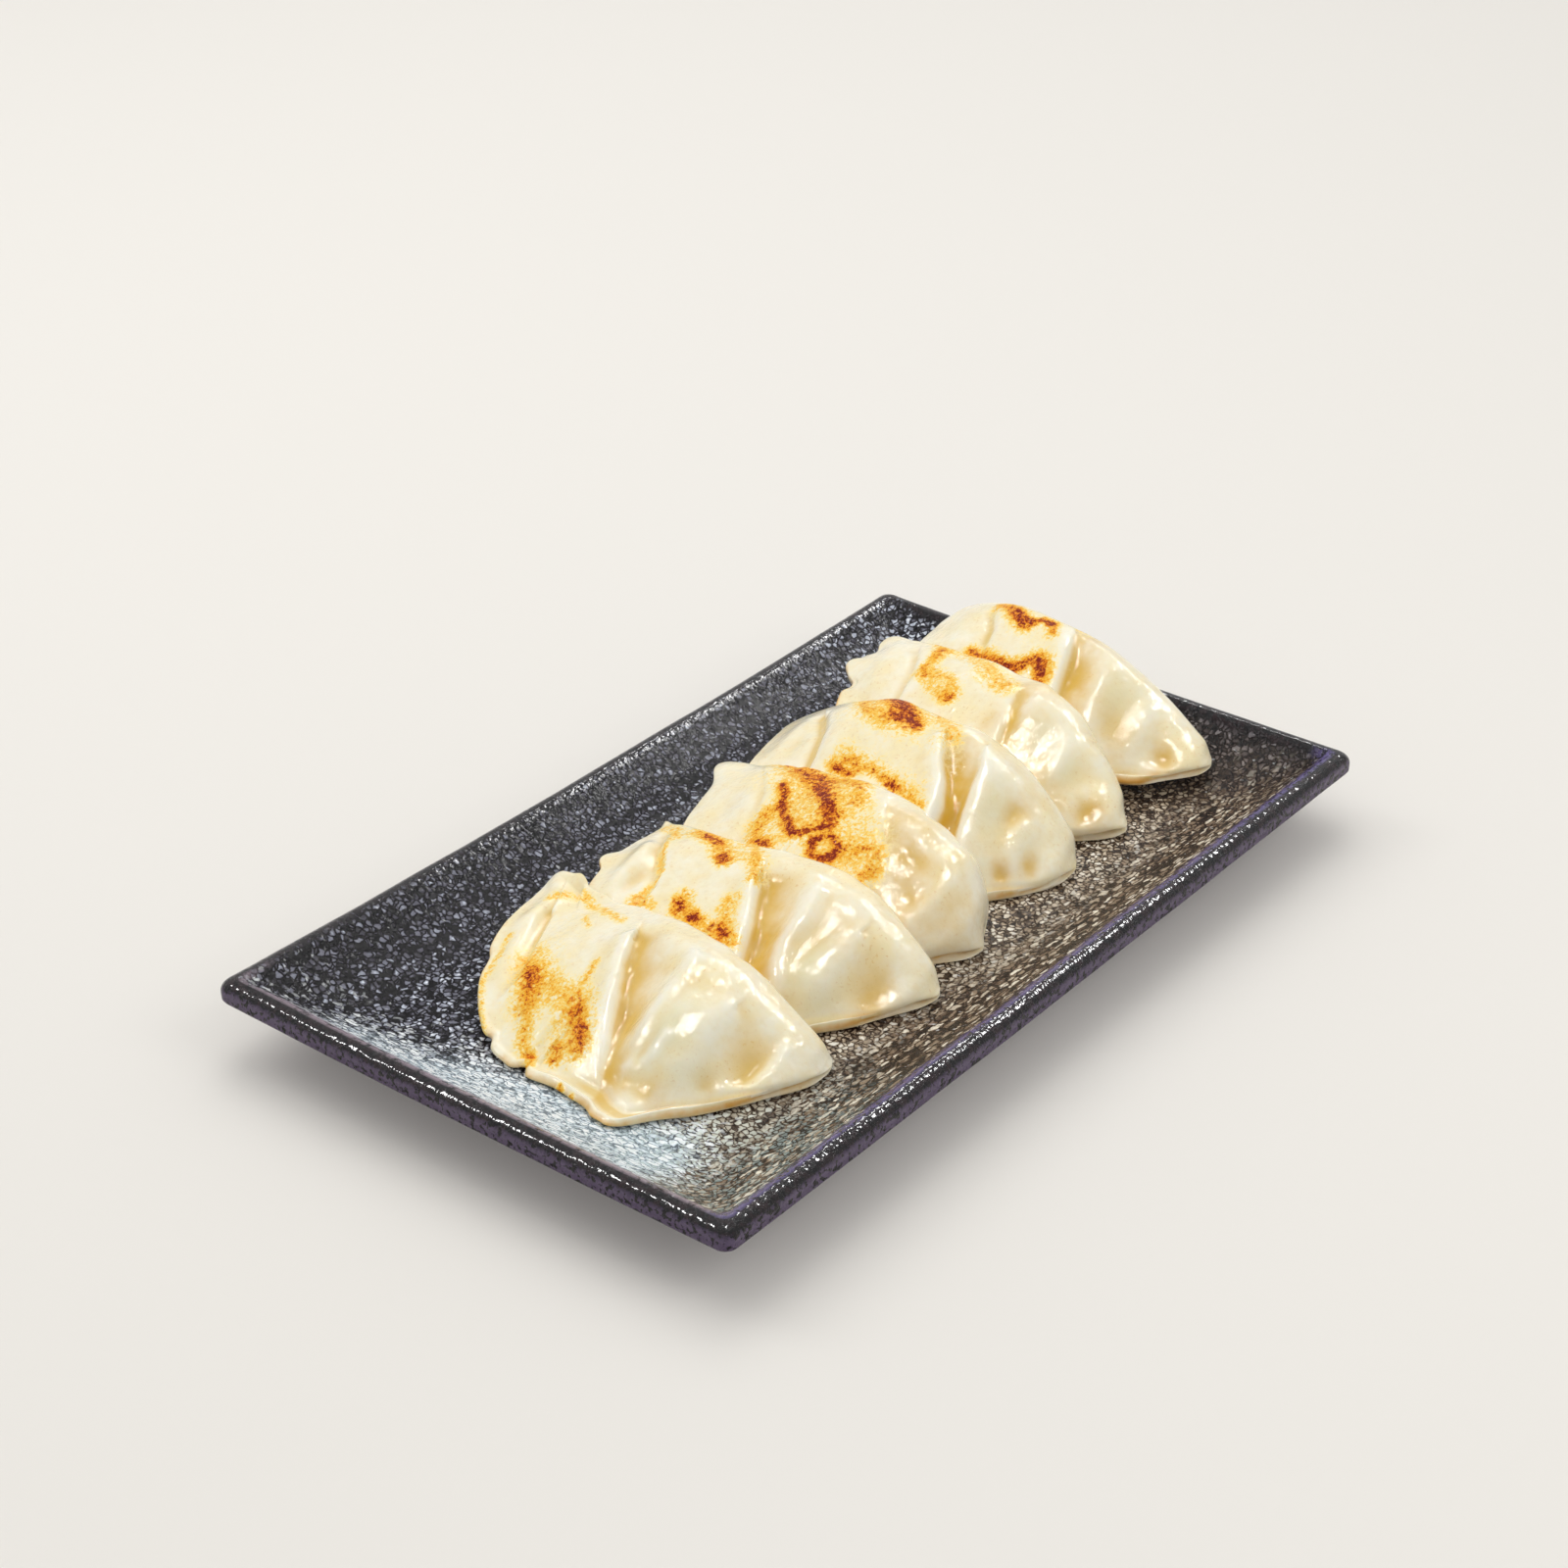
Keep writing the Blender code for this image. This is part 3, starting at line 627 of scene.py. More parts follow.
def dumpling_height(g, sigma, turn, plan, support):
    """Height over the plate's floor, and the relief, from which the finish paints shade in the hollows and a
    highlight on the crests.
    """
    s, t, tau, width, full, half, rise = plan[2:]
    lift = rise + (g["tip_l"][2] - TIP_EDGE) * soft((-sigma - 0.1) / 0.9)
    lift = lift + (g["tip_r"][2] - TIP_EDGE) * soft((sigma - 0.1) / 0.9)
    share = full * unit(1.0 - lift / g["height"])
    roof = lift + WRAP_EDGE + (g["height"] - WRAP_EDGE) * share
    for place, amount, wide in g["dips"]:
        roof = roof - amount * hump(half * sigma, place, wide)
    rim = np.where(sigma > 0.0, 0.92, 0.95) - 0.03 * soft(sigma / 0.5)
    climb = unit((rim - tau) / (rim - RIDGE_AT))
    slope = 0.45 * climb + 0.55 * np.sin(math.pi / 2.0 * climb)
    top = lift + WRAP_EDGE + (roof - lift - WRAP_EDGE) * slope
    room = soft(climb * 3.0) * soft((1.0 - np.abs(sigma)) * 5.0) * soft((tau - 0.04) / 0.24)
    relief = face_relief(g, s, t) * room
    arc_gap = (1.0 - tau) * width
    groove = 1.5 * soft((sigma - 0.1) / 0.3) * hump(arc_gap, 3.9, 1.5)
    hem = 0.8 * hump(arc_gap, 1.4, 0.75) - groove
    relief = relief + hem * soft((1.0 - np.abs(sigma)) * 8.0) * soft(0.6 + sigma)
    top = top + relief
    under_ridge = unit((0.55 - tau) / 0.55) ** 1.3
    hollow = ARCH * roof * under_ridge * unit(1.0 - sigma ** 4)
    bottom = np.maximum(lift + hollow, support)
    top = np.maximum(top, bottom + MIN_BODY)
    middle = (top + bottom) / 2.0
    thick = (top - bottom) / 2.0
    edge_f = unit((1.0 - tau) * width / ARC_ROUND)
    edge_b = unit(tau * width / (RIDGE_ROUND * np.maximum(thick, TIP_EDGE)))
    close = np.sqrt(1.0 - (1.0 - edge_f) ** 2) * np.sqrt(1.0 - (1.0 - edge_b) ** 2)
    close = close * unit((1.0 - np.abs(sigma)) * half / 0.8) ** 0.5
    return middle + np.where(turn > 0.0, thick, -thick) * close, relief


def drop_height(trees, x, y):
    """Height over the floor of whatever lies under a point of the plan."""
    best = 0.0
    start = Vector(((x - HALF_LENGTH) * MM, (y - HALF_WIDTH) * MM, 0.2))
    for tree, gap in trees:
        hit = tree.ray_cast(start, Vector((0.0, 0.0, -1.0)))[0]
        if hit is not None:
            best = max(best, hit.z / MM - WELL_TOP + gap)
    return best


# %% [markdown]
# ## Browning
# The pan browns the pressed panel in patches: pale gold at the edge of a patch, then orange,
# then dark red-brown cores. Each patch is a stroke on the face with a width and a strength. The
# sum is stored on the mesh, so the finish can break it up with grain.

# %% Browning strokes
BROWN_SPREAD = 1.1  # every stroke is this much wider than its number
# Run of points, half width, strength from 0 to 1.
BROWNING = {
    "gyoza_1": [
        (((-34.5, 6.5), (-33, 4.3), (-30, 1.6), (-26, 2.8), (-21, 3.8), (-18, 5.4), (-13, 6.4)), 1.2, 0.38),
        (((-22, 8), (-18, 11)), 0.7, 0.3), (((-22, 23), (-16, 28), (-12, 32)), 3.4, 0.36),
        (((-20, 25), (-16.5, 28), (-12.7, 31.8), (-9, 35.6), (-6, 39.4), (-3, 41)), 1.5, 0.46),
        (((-17.5, 27), (-15.5, 29)), 1, 0.78), (((-16, 26), (-10, 27.5), (-3, 28)), 2.6, 0.34),
        (((-2, 29), (1, 32.7), (3, 35)), 3.9, 0.38), (((-1, 30), (2, 31.6), (4.4, 34), (5, 35)), 1.6, 0.62),
        (((2.6, 32), (3.6, 33.4)), 0.9, 1), (((1, 37), (2, 39)), 1.2, 0.66),
        (((-2.5, 40.5), (-1, 42.4)), 1, 0.5), (((-7, 19), (-5, 24)), 1, 0.42),
        (((8.2, 43), (8.8, 43.2)), 0.6, 0.75), (((11.5, 43.4), (12, 43.6)), 0.6, 0.5),
        (((-31, 20), (-27, 28), (-25, 33), (-20, 38), (-14, 42.5)), 0.8, 0.34),
        (((-24, 10), (-10, 34)), 9, 0.09)],
    "gyoza_2": [
        (((-34, 3), (-30, 4.5), (-27, 8)), 1.6, 0.4), (((-28, -0.6), (-21, 0.2)), 1.3, 0.62),
        (((-24, 4), (-17, 5.4), (-13, 8.6), (-10.6, 10.4)), 2.2, 0.56),
        (((-21, 4.4), (-17, 5.6)), 1.2, 0.84), (((-12.6, 9.2), (-11, 10.2)), 1.2, 1),
        (((-14, -0.6), (-9, 3), (-5, 7.4), (-1.3, 11), (-0.6, 13)), 1.6, 0.46),
        (((-24, 1), (-4, 8)), 4, 0.18), (((-27, 11), (-23.6, 15.7), (-20.6, 18.6), (-20, 25)), 0.9, 0.42),
        (((-20, 26.6), (-15.6, 27.4)), 1.8, 0.5), (((-11, 22), (-8.6, 24.4)), 2.2, 0.5),
        (((-10.8, 23.8), (-9.6, 24.6)), 1.1, 0.86), (((-5.2, 25.4), (-4, 25.8)), 1.2, 1),
        (((-9, 26), (7, 27)), 1.6, 0.56), (((-0.8, 19), (0.6, 22.4), (3.6, 25.4)), 2.2, 0.46),
        (((1, 25), (4, 25.6)), 1, 0.74)],
    "gyoza_3": [
        (((-18, 4.6), (-14.6, 7), (-11.8, 10), (-6, 13.8), (-1.6, 16), (0.6, 14.2), (3.4, 10.8)), 1.3, 0.95),
        (((-12, -0.6), (-7, 2.4), (-2, 5.4), (1.6, 8), (3.2, 10.2)), 2.2, 0.74),
        (((-10, 1.6), (-4, 5), (1.4, 8.6)), 1.1, 1), (((-10, 6), (-3, 12)), 4.6, 0.26),
        (((4, 15.4), (5.6, 13), (7.6, 12.4), (9.8, 13.6), (10.6, 16)), 1.1, 0.92),
        (((10.6, 16), (9, 17.6), (6.4, 17.8), (4.2, 15.6)), 1.3, 0.96),
        (((-28, -3.6), (-14, -2.6), (-4, -3)), 2.6, 0.56), (((-20, -1), (-13, 0.2)), 2, 0.66),
        (((-13, 12), (-12.6, 16), (-9, 19.6), (-4, 20.4)), 2.2, 0.56),
        (((-8, 20.2), (-4.6, 20.4)), 0.8, 0.86), (((-1, -2), (3, 2)), 2.2, 0.4),
        (((12, 13), (17, 9.4), (19.6, 12), (19.6, 16)), 1.6, 0.46), (((12, 14), (18, 13)), 3.4, 0.3),
        (((-24, 3), (0, 2), (12, 8)), 5, 0.18), (((-4, 10), (8, 14)), 9, 0.16)],
    "gyoza_4": [
        (((-18, -3), (-12, 0), (-6, 3.4)), 3.6, 0.74),
        (((-16, -3.4), (-11, -0.6), (-5, 3), (-2.8, 4.6)), 1.9, 0.95), (((-9, 4.4), (-7, 5)), 1.2, 0.8),
        (((-24, -3), (-20, 2), (-15, 6), (-9, 7.4)), 1.9, 0.48), (((-2, -3), (3, 0), (6, 3)), 2.4, 0.38),
        (((-11.4, 21.4), (-9, 19), (-5.4, 19.6)), 1.7, 0.6), (((-10, 22), (-6, 22)), 1.2, 0.86),
        (((-2.4, 19), (4, 20), (13, 21.6)), 1.3, 0.58), (((3.4, 20), (5.4, 20.8)), 0.9, 0.92),
        (((-12, 17), (10, 18)), 2.6, 0.18), (((-20, 8), (8, 8)), 5, 0.12)],
    "gyoza_5": [
        (((-25, -2.8), (-19, 0.4), (-17.6, 4.4), (-16.5, 9)), 1.6, 0.48),
        (((-19.6, 0.6), (-18, 3)), 1.6, 0.4), (((-16, -2), (-6, -0.6), (4, 1.6)), 2.6, 0.38),
        (((-14, 8.6), (-9, 9.6), (-4, 12)), 3, 0.4),
        (((-14, 8), (-8, 7.6), (-3, 11), (-3.2, 13.2), (-10, 12.6), (-14.6, 9.6)), 1, 0.2),
        (((-4.4, 12.2), (-3, 13)), 1.1, 0.6), (((-4, 3), (6, 4)), 2.4, 0.2)],
    "gyoza_6": [
        (((-22, 3.4), (-17, 4.8), (-13, 7.4), (-10, 8.8)), 1.9, 0.7),
        (((-15.6, 6), (-12.6, 7.6), (-10.6, 8.4)), 1.5, 0.99),
        (((-10, 8.4), (-7.4, 5.4), (-5, 5.6)), 1.4, 0.84), (((-7.6, 5.2), (-5.4, 5.6)), 0.9, 0.97),
        (((-4.6, 6), (-2.4, 8.6)), 1.3, 0.6), (((-27, -1.6), (-9, -1.6)), 1.2, 0.66),
        (((-17, 19.2), (-12, 19.6), (-6, 20.6)), 1.8, 0.8), (((-8, 20.4), (-4, 20.4)), 1.6, 0.99),
        (((-3.6, 19.6), (-2, 17.6), (-0.6, 15.4), (1.4, 15.6), (3.6, 18), (4.4, 19.8)), 1.7, 0.82),
        (((0.4, 16.6), (2.4, 18.6)), 1.3, 0.92), (((-5, 1), (2, 2)), 1.8, 0.28),
        (((-20, 8), (2, 14)), 5, 0.1)],
}

# Painted shade in the other hollows, as yellowish patches: place, half sizes, strength.
HOLLOW_SHADE = {
    "gyoza_1": [
        ((3, 16), (5, 5), 0.16), ((31, 15.6), (2.6, 4), 0.35), ((30.6, 25.4), (1.8, 3.4), 0.35),
        ((14, 36), (3, 2.6), 0.4), ((25.6, 35), (3.4, 2.4), 0.4)],
    "gyoza_2": [
        ((22, 13), (5, 6), 0.35), ((34, 15), (3.4, 5), 0.75), ((14, 23), (5, 7), 0.35)],
    "gyoza_3": [
        ((23, 6), (7, 6), 0.55), ((28, 13), (7, 4), 0.4), ((37, 6), (4, 6), 0.25)],
    "gyoza_4": [
        ((28, 7), (2.6, 5), 0.45), ((33, 18.6), (1.7, 2.2), 0.95), ((36, 13.4), (1.8, 2.4), 0.75),
        ((14, 11), (4, 5), 0.35)],
    "gyoza_5": [
        ((29, 13), (8, 4), 0.35), ((39.4, 8.4), (2.6, 3), 0.95), ((12, 12), (5, 5), 0.35)],
    "gyoza_6": [
        ((33.6, 11.6), (3, 2.6), 0.75), ((35.4, 17.6), (1.8, 4), 0.8), ((24, 16), (8, 4), 0.4),
        ((9, 15), (5, 4), 0.3)],
}

# Where the filling shows through the dough: place, half sizes, strength.
FILLING = {
    "gyoza_1": [
        ((20, 25), (5.5, 8), 1), ((10, 40), (5, 3), 0.6), ((31, 27), (4, 5), 0.5)],
    "gyoza_2": [
        ((22, 22), (5, 8), 1), ((30, 27), (4, 6), 0.6)],
    "gyoza_3": [
        ((22, 12), (4, 6), 0.5)],
    "gyoza_4": [
        ((24, 12), (4, 7), 0.8), ((34, 10), (3, 5), 0.5)],
    "gyoza_5": [
        ((20, 10), (5, 8), 1), ((30, 8), (4, 6), 0.8)],
    "gyoza_6": [
        ((20, 12), (5, 7), 0.9), ((30, 14), (3, 5), 0.5)],
}


def browning(g, s, t):
    """Browned share of each point: strokes joined so that crossing strokes do not pile up."""
    left = np.ones(np.shape(s))
    for points, wide, strength in BROWNING[g["name"]]:
        off = path_distance(s, t, points)[0]
        left = left * (1.0 - strength * hump(off, 0.0, BROWN_SPREAD * wide))
    return 1.0 - left


def patches(table, s, t):
    """Sum of the round patches of a table."""
    total = np.zeros(np.shape(s))
    for place, size, share in table:
        total = total + share * blob(s, t, place, size)
    return total


def valley(g, s, t):
    """Painted shade, yellowish, in the valley: it starts at the right fold and thins out beyond it."""
    strength, reach = g["valley"]
    right, past = path_distance(s, t, g["right"])
    beyond = np.maximum(right - 1.2, 0.0)
    return strength * soft((right - 0.1) / 0.9) * np.exp(-(beyond / reach) ** 2 - (past / 3.0) ** 2)


# %% Build a dumpling
CALM_STEPS = 40
# The finish paints shade into the hollows and a highlight onto the crests that fold_depth finds.
FOLD_FULL = 0.5  # millimetres off the surroundings that count as a full hollow or crest
# Unevenness of the skin: waves per millimetre, height.
SKIN_WAVES = ((0.12, 0.3), (0.33, 0.09), (0.9, 0.03))


def fold_depth(sigma, turn, relief):
    """Relief against its own surroundings, from -1 in a hollow to 1 on a crest. The finish paints shade in
    the hollows and a highlight on the crests from it.

    The points fill a grid of the sphere's rings, and the surroundings are that grid smoothed.
    """
    rows = (1.0 - np.arccos(np.clip(sigma, -1.0, 1.0)) / math.pi) * ALONG
    rows = np.round(rows).astype(int)
    cols = np.round((turn / (2.0 * math.pi) + 0.5) * AROUND).astype(int) % AROUND
    grid = np.zeros((ALONG + 1, AROUND))
    grid[rows, cols] = relief
    calm = grid.copy()
    for _ in range(CALM_STEPS):
        up = np.roll(calm, 1, 0)
        down = np.roll(calm, -1, 0)
        calm = (calm * 2.0 + up + down + np.roll(calm, 1, 1) + np.roll(calm, -1, 1)) / 6.0
        calm[0] = grid[0]
        calm[-1] = grid[-1]
    return np.clip((grid - calm)[rows, cols] / FOLD_FULL, -1.0, 1.0)


def build_dumpling(g, trees):
    """Sphere to half moon, with the browned share, the hollows and crests for painted shade and highlight,
    and the patches of painted shade stored on the mesh.
    """
    bm = bmesh.new()
    bmesh.ops.create_uvsphere(bm, u_segments=AROUND, v_segments=ALONG, radius=1.0)
    co = np.array([vert.co[:] for vert in bm.verts])
    sigma = np.clip(co[:, 2], -1.0, 1.0)
    turn = np.arctan2(co[:, 1], co[:, 0])
    turn = np.where(np.abs(turn) < 1e-6, 1e-9, turn)
    upper = turn > 0.0
    plan = dumpling_plan(g, sigma, turn)
    x, y, s, t, tau, width = plan[:6]
    support = np.array([drop_height(trees, px, py) for px, py in zip(x, y)])
    height, relief = dumpling_height(g, sigma, turn, plan, support)
    hollow_shade = valley(g, s, t) + patches(HOLLOW_SHADE[g["name"]], s, t)
    values = {
        "browning": np.where(upper, browning(g, s, t), 0.0),
        "fold": fold_depth(sigma, turn, relief),
        "filling": np.minimum(1.0, patches(FILLING[g["name"]], s, t)),
        "hollow_shade": np.where(upper, np.minimum(1.0, hollow_shade), 0.0),
        "hem": np.where(upper, 0.9, 0.5) * hump((1.0 - tau) * width, 0.0, 0.8),
    }
    layers = {name: bm.verts.layers.float.new(name) for name in values}
    ceiling = cad_box[1][2] / MM - WELL_TOP - 0.02
    for index, vert in enumerate(bm.verts):
        px = x[index] - HALF_LENGTH
        py = y[index] - HALF_WIDTH
        skin = 0.0
        if upper[index]:
            spot = Vector((px, py, height[index]))
            skin = sum(noise.noise(spot * pitch) * high for pitch, high in SKIN_WAVES)
            skin = min(skin, ceiling - height[index])
        vert.co = (px * MM, py * MM, (height[index] + skin + WELL_TOP) * MM)
        for name, layer in layers.items():
            vert[layer] = values[name][index]
    face_outwards(bm)
    return bm


# %% [markdown]
# ## Finishes
# The dough is steamed and fried, so it is half translucent and wet with oil: subsurface light
# under a clear coat. The glaze is black with pale flecks that pool and run on the slopes.
# Shade in the hollows of the dough and a highlight on its crests are painted into its colour.
# The milky run on the near slope is partly glaze and partly a painted reflection.
# The white dots in the glaze are painted glints.

# %% Node helper
def tone(r, g, b):
    """Opaque linear colour from 0 to 255 display values."""
    out = []
    for value in (r, g, b):
        v = value / 255.0
        out.append(v / 12.92 if v <= 0.04045 else ((v + 0.055) / 1.055) ** 2.4)
    return (*out, 1.0)


class Nodes:
    """Small helper that adds and joins shader nodes."""

    def __init__(self, name):
        self.material = bpy.data.materials.new(name)
        self.material.use_nodes = True
        self.tree = self.material.node_tree
        self.shader = self.tree.nodes["Principled BSDF"]
        self.coords = self.tree.nodes.new("ShaderNodeTexCoord").outputs["Object"]

    def add(self, kind, inputs=None, **settings):
        node = self.tree.nodes.new(kind)
        for key, value in settings.items():
            setattr(node, key, value)
        for key, value in (inputs or {}).items():
            self.put(node.inputs[key], value)
        return node

    def put(self, socket, value):
        if isinstance(value, bpy.types.NodeSocket):
            self.tree.links.new(value, socket)
        else:
            socket.default_value = value

    def feed(self, name, value):
        self.put(self.shader.inputs[name], value)

    def noise(self, scale, detail=3.0, rough=0.6, where=None, distortion=0.0):
        inputs = {"Vector": where or self.coords, "Scale": scale, "Detail": detail}
        inputs.update({"Roughness": rough, "Distortion": distortion})
        return self.add("ShaderNodeTexNoise", inputs).outputs["Fac"]

    def shake(self, scale, size):
        """Small random offsets, to bend a pattern."""
        cloud = self.add("ShaderNodeTexNoise", {"Vector": self.coords, "Scale": scale, "Detail": 2.0})
        colour = cloud.outputs["Color"]
        centred = self.add("ShaderNodeVectorMath", {0: colour, 1: (0.5, 0.5, 0.5)}, operation="SUBTRACT")
        scaled = {0: centred.outputs[0], "Scale": size}
        return self.add("ShaderNodeVectorMath", scaled, operation="SCALE").outputs[0]

    def shifted(self, where, offset):
        return self.add("ShaderNodeVectorMath", {0: where, 1: offset}, operation="ADD").outputs[0]

    def stretch(self, scale):
        return self.add("ShaderNodeMapping", {"Vector": self.coords, "Scale": scale}).outputs["Vector"]

    def math(self, kind, a, b):
        return self.add("ShaderNodeMath", {0: a, 1: b}, operation=kind).outputs[0]

    def plus(self, a, b):
        return self.math("ADD", a, b)

    def minus(self, a, b):
        return self.math("SUBTRACT", a, b)

    def times(self, a, b):
        return self.math("MULTIPLY", a, b)

    def swing(self, value, size):
        """A noise as a swing to both sides of zero."""
        return self.times(self.minus(value, 0.5), size)

    def ramp(self, value, low, high):
        node = self.add("ShaderNodeMapRange", {"Value": value, "From Min": low, "From Max": high})
        return node.outputs["Result"]

    def mix(self, share, a, b):
        node = self.add("ShaderNodeMix", data_type="RGBA")
        self.put(node.inputs[0], share)
        for socket, colour in ((node.inputs[6], a), (node.inputs[7], b)):
            self.put(socket, tone(*colour) if isinstance(colour, tuple) else colour)
        return node.outputs[2]

    def stops(self, value, table):
        """Colours along a value, from rows of place, red, green and blue."""
        node = self.add("ShaderNodeValToRGB", {"Fac": value})
        ramp = node.color_ramp
        while len(ramp.elements) < len(table):
            ramp.elements.new(0.5)
        for element, (place, r, g, b) in zip(ramp.elements, table):
            element.position = place
            element.color = tone(r, g, b)
        return node.outputs["Color"]

    def attribute(self, name):
        return self.add("ShaderNodeAttribute", attribute_name=name).outputs["Fac"]

    def bump(self, height, distance, strength):
        inputs = {"Height": height, "Distance": distance, "Strength": strength}
        return self.add("ShaderNodeBump", inputs).outputs["Normal"]


# %% Dough finish
CRUST = (
    (0.0, 253, 240, 206), (0.18, 255, 234, 168), (0.38, 254, 212, 100),
    (0.62, 251, 182, 40), (0.84, 224, 110, 10), (1.0, 128, 24, 1),
)


def dough_finish(name):
    """Wet dough: pale cream, yellowish painted shade in the hollows, painted highlight on the crests, grey
    over the filling, browned by the pan.
    """
    n = Nodes(name)
    brown = n.attribute("browning")
    fold = n.attribute("fold")
    cloud = n.noise(110.0)
    fine = n.noise(520.0)

    # plain dough: cream in two tones, with freckles
    pale = n.mix(n.ramp(cloud, 0.38, 0.64), (253, 243, 216), (251, 234, 188))
    pale = n.mix(n.times(n.ramp(fine, 0.5, 0.72), 0.35), pale, (240, 218, 168))
    freckle = n.times(n.ramp(n.noise(1300.0, 2.0), 0.60, 0.70), n.ramp(cloud, 0.45, 0.6))
    pale = n.mix(n.times(freckle, 0.45), pale, (224, 178, 104))

    # filling that shows through, yellowish painted shade in the hollows and patches, painted highlight on the
    # crests, and the golden hem
    pale = n.mix(n.times(n.attribute("filling"), 0.75), pale, (228, 221, 182))
    # painted shade: the hollows of the relief turn yellowish
    pale = n.mix(n.times(n.ramp(fold, 0.0, -0.8), 0.7), pale, (226, 188, 88))
    # painted shade: yellowish in the valley beside the right fold and in the listed hollows
    hollow_shade = n.times(n.attribute("hollow_shade"), n.ramp(cloud, 0.15, 0.55))
    pale = n.mix(n.times(hollow_shade, 0.92), pale, (218, 170, 44))
    # painted highlight: the crests of the relief turn near white
    pale = n.mix(n.times(n.ramp(fold, 0.1, 0.9), 0.6), pale, (255, 251, 236))
    hem = n.times(n.attribute("hem"), n.ramp(cloud, 0.35, 0.62))
    pale = n.mix(hem, pale, (224, 164, 66))

    # crust: two grains break up the browned share before it picks its colour
    grain = n.noise(1900.0, rough=0.7)
    patch = n.noise(820.0, 5.0, 0.72, distortion=0.5)
    edge = n.ramp(brown, 0.02, 0.30)
    loose = n.plus(n.swing(patch, 1.9), n.swing(grain, 1.2))
    broken = n.plus(brown, n.times(loose, edge))
    crust = n.stops(broken, CRUST)
    n.feed("Base Color", n.mix(n.ramp(broken, 0.05, 0.24), pale, crust))
    n.shader.inputs["Roughness"].default_value = 0.42
    n.feed("Subsurface Weight", n.times(n.ramp(brown, 0.35, 0.0), 0.22))
    n.shader.inputs["Subsurface Radius"].default_value = (1.0, 0.75, 0.42)
    n.shader.inputs["Subsurface Scale"].default_value = 0.0016
    n.shader.inputs["Specular IOR Level"].default_value = 0.06

    # oil: a clear coat with fine beads, thinner on the crust
    crisp = n.ramp(brown, 0.1, 0.6)
    n.feed("Coat Weight", n.minus(0.9, n.times(crisp, 0.78)))
    n.shader.inputs["Coat Roughness"].default_value = 0.045
    n.shader.inputs["Coat IOR"].default_value = 1.42
    blister = n.times(n.minus(patch, 0.5), crisp)
    skin = n.times(n.noise(420.0), 0.25)
    n.feed("Normal", n.bump(n.plus(skin, blister), 0.0006, 0.6))
    fine_beads = n.times(n.noise(1900.0, 2.0, 0.5), n.ramp(brown, 0.05, 0.4))
    beads = n.plus(n.noise(800.0), fine_beads)
    n.feed("Coat Normal", n.bump(beads, 0.0004, 0.45))
    return n.material


# %% Glaze finish
BLACK = (
    (0.0, 6, 5, 6), (0.10, 20, 17, 20), (0.26, 82, 80, 90),
    (0.46, 138, 140, 152), (0.66, 206, 212, 224), (0.90, 252, 254, 255),
)
OLIVE = (
    (0.0, 18, 12, 12), (0.10, 62, 46, 38), (0.26, 122, 100, 80),
    (0.48, 164, 146, 122), (0.85, 250, 242, 222),
)
WARM = (
    (0.0, 30, 20, 14), (0.10, 92, 74, 58), (0.25, 170, 150, 124),
    (0.48, 212, 198, 174), (0.85, 255, 250, 238),
)
MILK_AND_REFLECTION = ((0.0, 112, 124, 132), (0.10, 190, 204, 212), (0.24, 228, 240, 246), (0.50, 252, 255, 255))


def cells(n, where, scale):
    """One field of glassy cells: 0 between them, up to 1 at a painted white glint in the middle of some
    cells.
    """
    inputs = {"Vector": where, "Scale": scale}
    border = n.add("ShaderNodeTexVoronoi", inputs, feature="DISTANCE_TO_EDGE")
    centre = n.add("ShaderNodeTexVoronoi", inputs)
    luck = n.add("ShaderNodeSeparateColor", {0: centre.outputs["Color"]})
    body = n.times(n.ramp(border.outputs["Distance"], 0.03, 0.20), n.times(luck.outputs[0], 0.84))
    # painted highlight: a white glint in the middle of some cells
    painted_glint = n.times(n.ramp(centre.outputs["Distance"], 0.34, 0.10), n.ramp(luck.outputs[1], 0.45, 0.9))
    return n.plus(body, n.times(painted_glint, 0.45))


